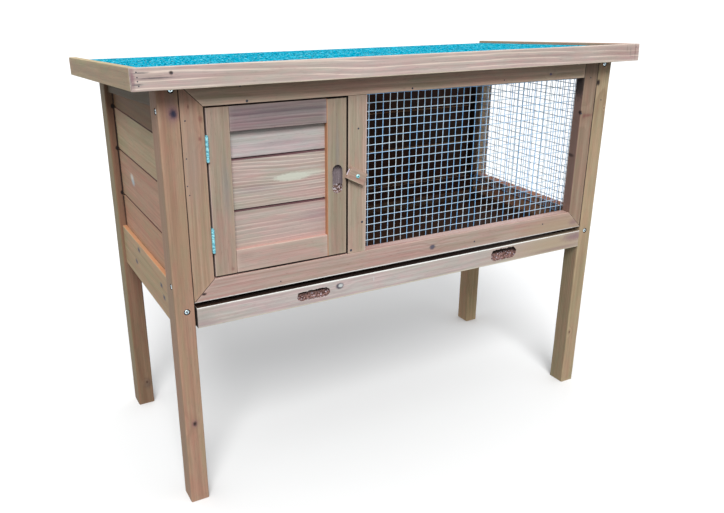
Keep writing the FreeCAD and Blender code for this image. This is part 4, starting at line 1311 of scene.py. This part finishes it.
def make_screws(bright, dark):
    """The frame's screws, their heads bright in the middle, with painted shade round the rim where they sink
    in, and cross recesses whose cut faces take the painted shade of the holes.
    """
    heads, crosses, soot = [], [], []
    rng = np.random.default_rng(CROSS_SEED)
    for place, way in screw_places():
        about = circle(*across_of(way), HOLE_SIDES)
        heads.append(rings_mesh([place + radius * about + way * depth for radius, depth, _ in SCREW_RINGS]))
        soot += [share for _, _, share in SCREW_RINGS for _ in about]
        crosses.append(cross_mesh(place, way, rng.uniform(0, math.pi / 2)))
    screws = mesh_object("screw_heads", *joined(heads), {"soot": soot})
    finish_piece(screws, "frame_screws", bright)
    carve(screws, "screw_crosses", crosses, dark)


def cut_screw_holes(pieces, cut_face_material):
    holes = {}
    for number, (place, way) in enumerate(screw_places()):
        side = "left" if place[0] < 0 else "right"
        end = "front" if place[1] < LEGS_MIDDLE_Y else "rear"
        mouth = place - way * SCREW_SUNK
        holes.setdefault(f"leg_{end}_{side}", []).append(hole_mesh(mouth, way, HOLE_SEED + number))
    for node in sorted(holes):
        carve(pieces[node], node + "_holes", holes[node], cut_face_material)


# A recess's floor lies this far behind the face, and two recesses lie at least this far apart along X
RECESS_BEHIND = (4.0, 12.0)
RECESS_APART = 80.0


def recess_boxes(node):
    """The low and high corners of the round-ended recesses in a node's front face."""
    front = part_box(node)[0].y / MM
    mesh = NODES[node].data
    places = []
    for polygon in mesh.polygons:
        behind = polygon.center.y / MM - front
        if polygon.normal.y < -FACES_SQUARELY and RECESS_BEHIND[0] < behind < RECESS_BEHIND[1]:
            places += [tuple(mesh.vertices[i].co / MM) for i in polygon.vertices]
    places = np.array(sorted(places))
    breaks = np.nonzero(np.diff(places[:, 0]) > RECESS_APART)[0] + 1
    return front, [(group.min(0), group.max(0)) for group in np.split(places, breaks)]


RECESS_STRAIGHT = 22
RECESS_ROUND = 12
# Growth and depth of a recess's rings, then the shares of its floor's rings
RECESS_WALLS = ((0.9, -1.2), (0.45, -0.05), (0.1, 0.5), (0.0, 2.0), (-0.1, 4.0), (-0.3, 6.2), (-1.0, 7.2))
RECESS_FLOORS = (0.72, 0.46, 0.22)
RECESS_DEEP = 7.6
# The numbers of waves round its torn rim, their strength and the size of its splinters, then how rough its
# floor is, and how much of its length stays in the middle of the floor
RECESS_WAVES = (3, 7, 13, 21)
RECESS_WAVE = 0.4
RECESS_SPLINTERS = 0.5
RECESS_FLOOR_ROUGH = 0.72
RECESS_KEPT = 0.4
# Its rim ends at this depth, and below it the walls have this share of the rim's roughness
RECESS_RIM = 0.2
RECESS_WALL_ROUGH = 0.6


def recess_mesh(low, high, front, seed, roughness):
    """A torn, round-ended recess whose outline lies in X and Z and whose depth runs along Y."""
    rng = np.random.default_rng(seed)
    middle = (low + high) / 2
    size = high - low
    upright = size[2] > size[0]
    long, wide = (size[2], size[0]) if upright else (size[0], size[2])
    radius = wide / 2
    half = long / 2 - radius
    run = np.linspace(-1, 1, RECESS_STRAIGHT, endpoint=False)
    turn = np.linspace(0, math.pi, RECESS_ROUND, endpoint=False)
    end = np.full(RECESS_ROUND, half)
    spine = np.concatenate([run * half, end, -run * half, -end])
    straight = np.zeros((RECESS_STRAIGHT, 2))
    bow = np.stack([np.sin(turn), -np.cos(turn)], axis=1)
    outward = np.concatenate([straight + (0, -1), bow, straight + (0, 1), -bow])
    count = len(spine)
    ragged = rng.normal(0, RECESS_SPLINTERS, count)
    for waves in RECESS_WAVES:
        ragged += RECESS_WAVE * np.sin(waves * angles_round(count) + rng.uniform(0, 2 * math.pi))

    def ring(reach, share, depth):
        u = spine * share + outward[:, 0] * reach
        v = outward[:, 1] * reach
        x, z = (v, u) if upright else (u, v)
        return np.stack([middle[0] + x, front + depth, middle[2] + z], axis=1)

    rings = []
    for growth, depth in RECESS_WALLS:
        wild = roughness * (1.0 if depth < RECESS_RIM else RECESS_WALL_ROUGH)
        rings.append(ring(radius + growth + wild * ragged, 1.0, np.full(count, depth)))
    for share in RECESS_FLOORS:
        depth = RECESS_DEEP + rng.normal(0, RECESS_FLOOR_ROUGH * roughness, count)
        rings.append(ring(radius * share, RECESS_KEPT + (1 - RECESS_KEPT) * share, depth))
    return rings_mesh(rings)


def cut_recesses(pieces, node, roughness, cut_face_material):
    front, boxes = recess_boxes(node)
    meshes = []
    for number, (low, high) in enumerate(boxes):
        meshes.append(recess_mesh(low, high, front, RECESS_SEED + number, roughness))
    carve(pieces[node], node + "_recesses", meshes, cut_face_material)


# The broken corners at the back end of the left wall's joints: how far along, down and into the boards
NOTCH = (17.0, 3.4, 12.0)
NOTCH_SIDES = 7
NOTCH_RAGGED = (0.75, 1.15)
NOTCHED = tuple((f"left_board_{n}", f"left_board_{n + 1}") for n in (1, 2, 3))


def cut_notches(pieces, cut_face_material):
    for number, (lower, upper) in enumerate(NOTCHED):
        rng = np.random.default_rng(NOTCH_SEED + number)
        low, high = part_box(lower)
        face = low.x / MM
        angles = angles_round(NOTCH_SIDES)
        reach = rng.uniform(*NOTCH_RAGGED, NOTCH_SIDES)
        y = high.y / MM + NOTCH[0] * reach * np.cos(angles)
        z = high.z / MM + NOTCH[1] * reach * np.sin(angles)
        rings = [np.stack([np.full(NOTCH_SIDES, face + depth), y, z], axis=1) for depth in (-1.0, NOTCH[2])]
        for node in (lower, upper):
            carve(pieces[node], node + "_notch", [rings_mesh(rings)], cut_face_material)


# Nets of welded wire, and their staples

NET_STEP_ACROSS = 13.2
NET_STEP_UP = 13.45
NET_WIRE_R = 0.66
# How much thicker a wire is at a weld, how much that varies, and how far to either side it reaches
WELD_SWELL = 0.2
WELD_VARIES = (0.5, 1.2)
WELD_REACH = 1.05
WIRE_SIDES = 6
# How far the two families of wires lie from the net's middle
NET_OFFSET = 0.82 * NET_WIRE_R
# How far a wire is off its place, how far it sways and bulges, and the lengths of those waves
WIRE_OFF = 0.25
WIRE_SWAY = 0.22
WIRE_SWAY_LENGTH = 47
WIRE_JITTER = 0.05
WIRE_BULGE = 0.1
WIRE_BULGE_LENGTH = 71
# The palest wire's share of paleness
WIRE_PALEST = 0.42
STAPLE_R = 0.5
STAPLE_BEND = 1.4
STAPLE_BEND_ROWS = 5
STAPLE_SIDES = 8
STAPLE_LEAN = 0.06
SAME_PLACE = 0.01


def tube(path, radii, sides, steady):
    """A closed tube along a path that keeps at right angles to the steady way, in millimetres."""
    path = np.asarray(path, float)
    ways = np.gradient(path, axis=0)
    ways /= np.linalg.norm(ways, axis=1)[:, None]
    steady = np.asarray(steady, float)
    rings = []
    for place, radius, way in zip(path, radii, ways):
        rings.append(place + radius * circle(steady, np.cross(way, steady), sides))
    return rings_mesh(rings)


def wire_net(name, origin, across, out, steps_across, steps_up, seed):
    """Upright wires on the inner side and level wires on the outer side, welded where they cross, each with
    its own share of paleness. out points outwards."""
    rng = np.random.default_rng(seed)
    shares = np.random.default_rng(seed + PALE_SEED_STEP)
    origin, across, out = (np.asarray(v, float) for v in (origin, across, out))
    up = np.array((0.0, 0.0, 1.0))
    families = (
        (across, up, steps_across, steps_up, NET_STEP_ACROSS, NET_STEP_UP, -NET_OFFSET),
        (up, across, steps_up, steps_across, NET_STEP_UP, NET_STEP_ACROSS, NET_OFFSET),
    )
    wires, own = [], []
    for side_way, run_way, count, crossings, side_step, run_step, height in families:
        for number in range(count + 1):
            places, radii = [], []
            for crossing in range(crossings + 1):
                at = crossing * run_step
                swell = NET_WIRE_R * (1 + WELD_SWELL * rng.uniform(*WELD_VARIES))
                places += [at - WELD_REACH, at, at + WELD_REACH, at + run_step / 2]
                radii += [NET_WIRE_R, swell, NET_WIRE_R, NET_WIRE_R]
            along = np.array(places[:-1])
            phase = rng.uniform(0, 2 * math.pi)
            sway = rng.uniform(-WIRE_OFF, WIRE_OFF) + WIRE_SWAY * np.sin(along / WIRE_SWAY_LENGTH + phase)
            sway += rng.normal(0, WIRE_JITTER, len(along))
            bulge = height + WIRE_BULGE * np.sin(along / WIRE_BULGE_LENGTH + 2 * phase)
            path = origin + np.outer(number * side_step + sway, side_way) + np.outer(along, run_way)
            path += np.outer(bulge, out)
            wires.append(tube(path, radii[:-1], WIRE_SIDES, out))
            own.append(np.full(len(wires[-1][0]), shares.uniform(0.0, WIRE_PALEST)))
    net = mesh_object(name, *joined(wires), {"own": np.concatenate(own)})
    mark_upper(net)
    return net


# How far a net's outermost wires lie inside its node, and how far its middle plane lies behind the node's
NET_INSET = 0.8
NET_BEHIND = 0.75

# Each net's node, the ways across it and out of it, and its seed
NETS = {
    "front_net": ("front_mesh", Vector((1, 0, 0)), Vector((0, -1, 0)), FRONT_NET_SEED),
    "right_net": ("right_mesh", Vector((0, 1, 0)), Vector((1, 0, 0)), RIGHT_NET_SEED),
}


def make_nets(material):
    for name, (node, across, out, seed) in NETS.items():
        low, high = box_of(node)
        size = high - low
        steps = (round(size.dot(across) / NET_STEP_ACROSS), round(size.z / NET_STEP_UP))
        start = low + NET_INSET * across - NET_BEHIND * out
        start += Vector(abs(way) / 2 * length for way, length in zip(out, size))
        start.z = low.z + NET_INSET
        net = wire_net(name, start, across, out, *steps, seed)
        finish_piece(net, node, material)


def staple_tube(solid, seed):
    """A round wire staple in the place of a square one."""
    rng = np.random.default_rng(seed)
    size = solid.high - solid.low
    thin, deep, wide = np.argsort(size)
    ends = [np.abs(solid.points[:, deep] - limit[deep]) < SAME_PLACE for limit in (solid.low, solid.high)]
    crown_high = ends[1].sum() < ends[0].sum()
    out = 1 if crown_high else -1
    crown = (solid.high if crown_high else solid.low)[deep] - out * STAPLE_R
    tip = crown - out * (size[deep] - 2 * STAPLE_R)
    half = size[wide] / 2 - STAPLE_R
    turn = np.linspace(0, math.pi / 2, STAPLE_BEND_ROWS)
    inset = STAPLE_BEND * (1 - np.cos(turn))
    sunk = STAPLE_BEND * (1 - np.sin(turn))
    across = np.concatenate([[-half], inset - half, half - sunk, [half]])
    path = np.repeat(solid.middle[None], len(across), axis=0)
    path[:, wide] += across
    path[:, deep] = np.concatenate([[tip], crown - out * sunk, crown - out * inset, [tip]])
    path[:, thin] += rng.uniform(-STAPLE_LEAN, STAPLE_LEAN) * across
    steady = np.zeros(3)
    steady[thin] = 1.0
    return tube(path, [STAPLE_R] * len(path), STAPLE_SIDES, steady)


def make_staples(material):
    wires = [staple_tube(solid, STAPLE_SEED + i) for i, solid in enumerate(solids("mesh_staples"))]
    staples = mesh_object("net_staples", *joined(wires))
    finish_piece(staples, "mesh_staples", material)


# Small nail heads that show in the wood, as X and Z on the front face of a piece, and their radius
FRONT_PINS = {
    "front_top_rail": ((-15.2, 644.5, 1.7), (-292.6, 643.9, 1.9), (-301.8, 665.2, 1.3), (170.0, 647.0, 1.2)),
    "front_bottom_rail": ((129.3, 363.4, 1.7), (290.5, 371.5, 1.5), (-250.0, 360.0, 1.2)),
    "front_mullion": ((-104.5, 436.1, 2.0), (-124.6, 390.4, 2.2), (-112.4, 589.3, 1.6)),
    "front_left_stile": (
        (-383.1, 623.1, 1.2), (-386.6, 531.5, 1.0), (-385.1, 570.6, 1.0), (-384.4, 518.0, 1.0),
    ),
    "front_right_stile": ((358.6, 576.0, 1.6), (372.0, 640.0, 1.3)),
    "leg_front_right": ((404.5, 598.0, 1.4),),
}
# And as Y from the middle of the legs, and Z, on the left face of a piece
LEFT_PINS = {
    "left_bottom_rail": ((38.8, 366.9, 2.0), (64.0, 337.6, 2.0), (-96.1, 352.1, 2.0), (-107.3, 335.4, 2.0)),
}
PIN_SIDES = 12
PIN_PROUD = 0.12
# Share of the radius and depth of a pin head's rings
PIN_RINGS = ((1.0, 1.5), (1.0, 0.1), (0.85, -0.35 * PIN_PROUD), (0.45, -PIN_PROUD))


def pin_head(place, way, radius):
    """A small domed nail head. way points into the wood."""
    way = np.array(way)
    about = circle(*across_of(way), PIN_SIDES)
    return rings_mesh([place + radius * share * about + way * depth for share, depth in PIN_RINGS])


def make_pins(material):
    heads = []
    tables = ((FRONT_PINS, front_spot, (0.0, 1.0, 0.0)), (LEFT_PINS, left_spot, (1.0, 0.0, 0.0)))
    for table, spot, way in tables:
        for node, places in table.items():
            heads += [pin_head(np.array(spot(node, a, z)), way, radius) for a, z, radius in places]
    pins = mesh_object("frame_pin_heads", *joined(heads))
    pins.data.materials.append(material)
    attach(pins, "hutch")


# Roofing felt

FELT_CELL = 9.0
FELT_BEND_ROWS = 7
FELT_DROP_ROWS = 4
FELT_BEND = 3.5
# How high the felt's waves are and their lengths, and how far from its sides, front and back they start
FELT_WAVE = 0.7
FELT_WAVES = (210, 95, 48)
FELT_CALM_SIDE = 15
FELT_CALM_FRONT = 20
FELT_CALM_BACK = 40


def make_felt(material):
    """One sheet that lies on the deck and is turned down over its back edge."""
    sheet = corners(solids("roof_felt")[0], ROOF_AXES)
    deck = corners(solids("roof_deck")[0], ROOF_AXES)
    x_way, back_way, up_way = ROOF_AXES
    origin = sheet[0, 0, 1]
    wide = (sheet[1, 0, 1] - origin) @ x_way
    long = (sheet[0, 1, 1] - origin) @ back_way
    thick = (origin - sheet[0, 0, 0]) @ up_way
    drop = (origin - deck[0, 0, 0]) @ up_way
    flat = np.linspace(0, long - FELT_BEND, round(long / FELT_CELL))
    turn = np.linspace(0, math.pi / 2, FELT_BEND_ROWS)[1:]
    path = [(y, 0.0) for y in flat]
    path += [(long - FELT_BEND + FELT_BEND * math.sin(a), -FELT_BEND * (1 - math.cos(a))) for a in turn]
    path += [(long, z) for z in np.linspace(-FELT_BEND, -drop, FELT_DROP_ROWS)[1:]]
    path = np.array(path)
    ways = np.gradient(path, axis=0)
    ways /= np.linalg.norm(ways, axis=1)[:, None]
    inward = np.stack([ways[:, 1], -ways[:, 0]], axis=1)
    columns = np.linspace(0, wide, round(wide / FELT_CELL))
    rings = []
    for x in columns:
        flat_places = np.stack([np.full(len(path), x), path[:, 0], path[:, 1]], axis=1)
        free = np.clip((drop + path[:, 1]) / drop, 0, 1)
        free *= np.clip((long - path[:, 0]) / FELT_CALM_BACK, 0, 1)
        free *= min(1.0, x / FELT_CALM_SIDE, (wide - x) / FELT_CALM_SIDE)
        free *= np.clip(path[:, 0] / FELT_CALM_FRONT, 0, 1)
        lift = FELT_WAVE * free * ripple(flat_places, FELT_SEED, FELT_WAVES)
        outer = path - inward * lift[:, None]
        inner = outer + inward * thick
        ring = np.concatenate([outer, inner[::-1]])
        rings.append(origin + x * x_way + np.outer(ring[:, 0], back_way) + np.outer(ring[:, 1], up_way))
    felt = mesh_object("felt_sheet", *rings_mesh(rings))
    finish_piece(felt, "roof_felt", material)


# Floor and light

# The floor's width in metres
FLOOR_SIZE = 80


def make_floor():
    bpy.ops.mesh.primitive_grid_add(x_subdivisions=20, y_subdivisions=20, size=FLOOR_SIZE)
    floor = bpy.context.object
    floor.name = "floor"
    material, s, surface = new_material("pale_floor")
    where = s.node("TexCoord").outputs["Object"]
    drift = s.noise(where, (1.4, 1.4, 1.4), 2.0)
    colour = s.mix(s.smooth(drift, 0.2, 0.8), tone(243, 243, 243), tone(247, 247, 246))
    s.give(surface.inputs, {"Base Color": colour, "Roughness": 0.8, "Specular IOR Level": 0.2})
    floor.data.materials.append(material)
    floor.visible_diffuse = False


def sun(name, toward, strength, spread):
    """A soft sun that shines from a direction. spread is its width in degrees."""
    data = bpy.data.lights.new(name, "SUN")
    data.energy = strength
    data.angle = math.radians(spread)
    lamp = bpy.data.objects.new(name, data)
    lamp.rotation_mode = "QUATERNION"
    lamp.rotation_quaternion = (-Vector(toward)).to_track_quat("-Z", "Y")
    bpy.context.scene.collection.objects.link(lamp)


def make_light():
    world = bpy.data.worlds.new("studio")
    bpy.context.scene.world = world
    world.use_nodes = True
    background = world.node_tree.nodes["Background"]
    background.inputs["Color"].default_value = (0.97, 0.985, 1.0, 1.0)
    s = Shader(world.node_tree)
    height = s.node("SeparateXYZ", (s.node("TexCoord").outputs["Generated"],)).outputs[2]
    world.node_tree.links.new(s.smooth(height, -0.2, 0.75, 0.14, 0.95), background.inputs["Strength"])
    sun("key", (-0.4, -0.95, 1.0), 2.2, 26.0)
    bpy.context.scene.view_settings.view_transform = "Standard"


# The leaves of each hinge, which keep their CAD shape, and how many knuckles a hinge has
HINGE_UPPER = ("hinge_upper_frame_leaf", "hinge_upper_door_leaf")
HINGE_LOWER = ("hinge_lower_frame_leaf", "hinge_lower_door_leaf")
HINGE_KNUCKLES = 5


def hinge_bands(leaf):
    """The step of a hinge's knuckles and the height of the lowest one's foot."""
    low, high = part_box(leaf)
    return (high.z - low.z) / MM / HINGE_KNUCKLES, low.z / MM


def paint(node, material):
    """Gives a node that keeps its CAD shape its material."""
    NODES[node].data.materials.clear()
    NODES[node].data.materials.append(material)


# Heights above which the recess of the door and the recesses of the tray have no splinters, and above which
# the tray's recesses take a painted shadow
DOOR_GRIP_PLANED = 503.0
TRAY_GRIP_SHADED_ABOVE = 329.5


def main():
    make_camera()
    make_floor()
    make_light()
    zinc = metal("zinc_plate", tone(206, 232, 244), tone(150, 184, 204), 0.6, 0.3, 1.6)
    white_zinc = tone(240, 252, 255)
    cross_zinc = metal("screw_zinc", white_zinc, tone(170, 206, 222), 0.95, 0.18, 1.6)
    middle = middle_of("turn_button_screw")
    # Painted shade: a dark disc in the middle of the turn-button's screw stands for its drive's recess
    bright = metal("bright_screw", tone(196, 250, 255), tone(96, 214, 224), 0.2, 0.25, 2.6, drive=middle)
    # Painted reflection: the wires' blue stands for the sky that the zinc reflects, and their upper faces
    # take a painted highlight
    sky_reflection_zinc = (tone(158, 214, 255), tone(114, 190, 255))
    wire = metal("galvanised_wire", *sky_reflection_zinc, 0.5, 0.3, 6.0, 0.05, lit=white_zinc)
    steel = metal("dark_nail_steel", tone(74, 76, 88), tone(44, 46, 60), 0.3, 0.5, 1.0)
    pieces = make_timbers()
    # Painted shade: the screw holes' cut faces take a nearly black wood colour
    hole_shade = torn_wood("shaded_hole_wood", tone(26, 18, 18), tone(70, 48, 42), tone(120, 96, 84), 0.7)
    cut_screw_holes(pieces, hole_shade)
    # Painted shade: the broken corners at the wall's joints take a nearly black wood colour
    notch_shade = torn_wood("shaded_notch_wood", tone(14, 10, 12), tone(34, 24, 24), tone(60, 46, 42), 0.75)
    cut_notches(pieces, notch_shade)
    torn = (tone(62, 44, 40), tone(150, 118, 106), tone(240, 232, 240))
    door_grip = torn_wood("door_grip", *torn, 0.52, (tone(150, 138, 142), DOOR_GRIP_PLANED))
    cut_recesses(pieces, "door_right_stile", 0.3, door_grip)
    torn = (tone(70, 48, 44), tone(168, 130, 122), tone(244, 236, 250))
    # Painted shadow: above their height the tray's recesses are dark, as under their upper edge
    tray_grip = torn_wood("tray_grip", *torn, 0.58, (tone(50, 36, 32), TRAY_GRIP_SHADED_ABOVE))
    cut_recesses(pieces, "tray_front", 0.75, tray_grip)
    # The screws' cross recesses also take the painted shade of the holes
    make_screws(cross_zinc, hole_shade)
    paint("turn_button_screw", bright)
    staple = metal("bright_staple", tone(250, 246, 255), tone(196, 184, 226), 0.1, 0.3, 2.0)
    paint("turn_button_staple", staple)
    paint("hinge_frame_screws", zinc)
    paint("hinge_door_screws", zinc)
    pale = (tone(170, 244, 255), tone(84, 176, 200))
    for name, leaves in (("upper_hinge_zinc", HINGE_UPPER), ("lower_hinge_zinc", HINGE_LOWER)):
        # Painted shade between the hinges' knuckles
        plate = metal(name, *pale, 0.3, 0.3, 3.0, bands=hinge_bands(leaves[0]))
        for leaf in leaves:
            paint(leaf, plate)
    paint("hinge_pins", metal("pin_zinc", *pale, 0.3, 0.3, 2.0))
    paint("roof_nails", steel)
    # Painted shade: the partition inside takes the dark stain
    middle = middle_of("partition_panel")
    paint("partition_panel", wood("partition_wood", LAY["y"], "dark", middle, (1.0, 0.84, 0.74)))
    make_felt(felt_material())
    make_nets(wire)
    make_staples(zinc)
    make_pins(steel)


main()
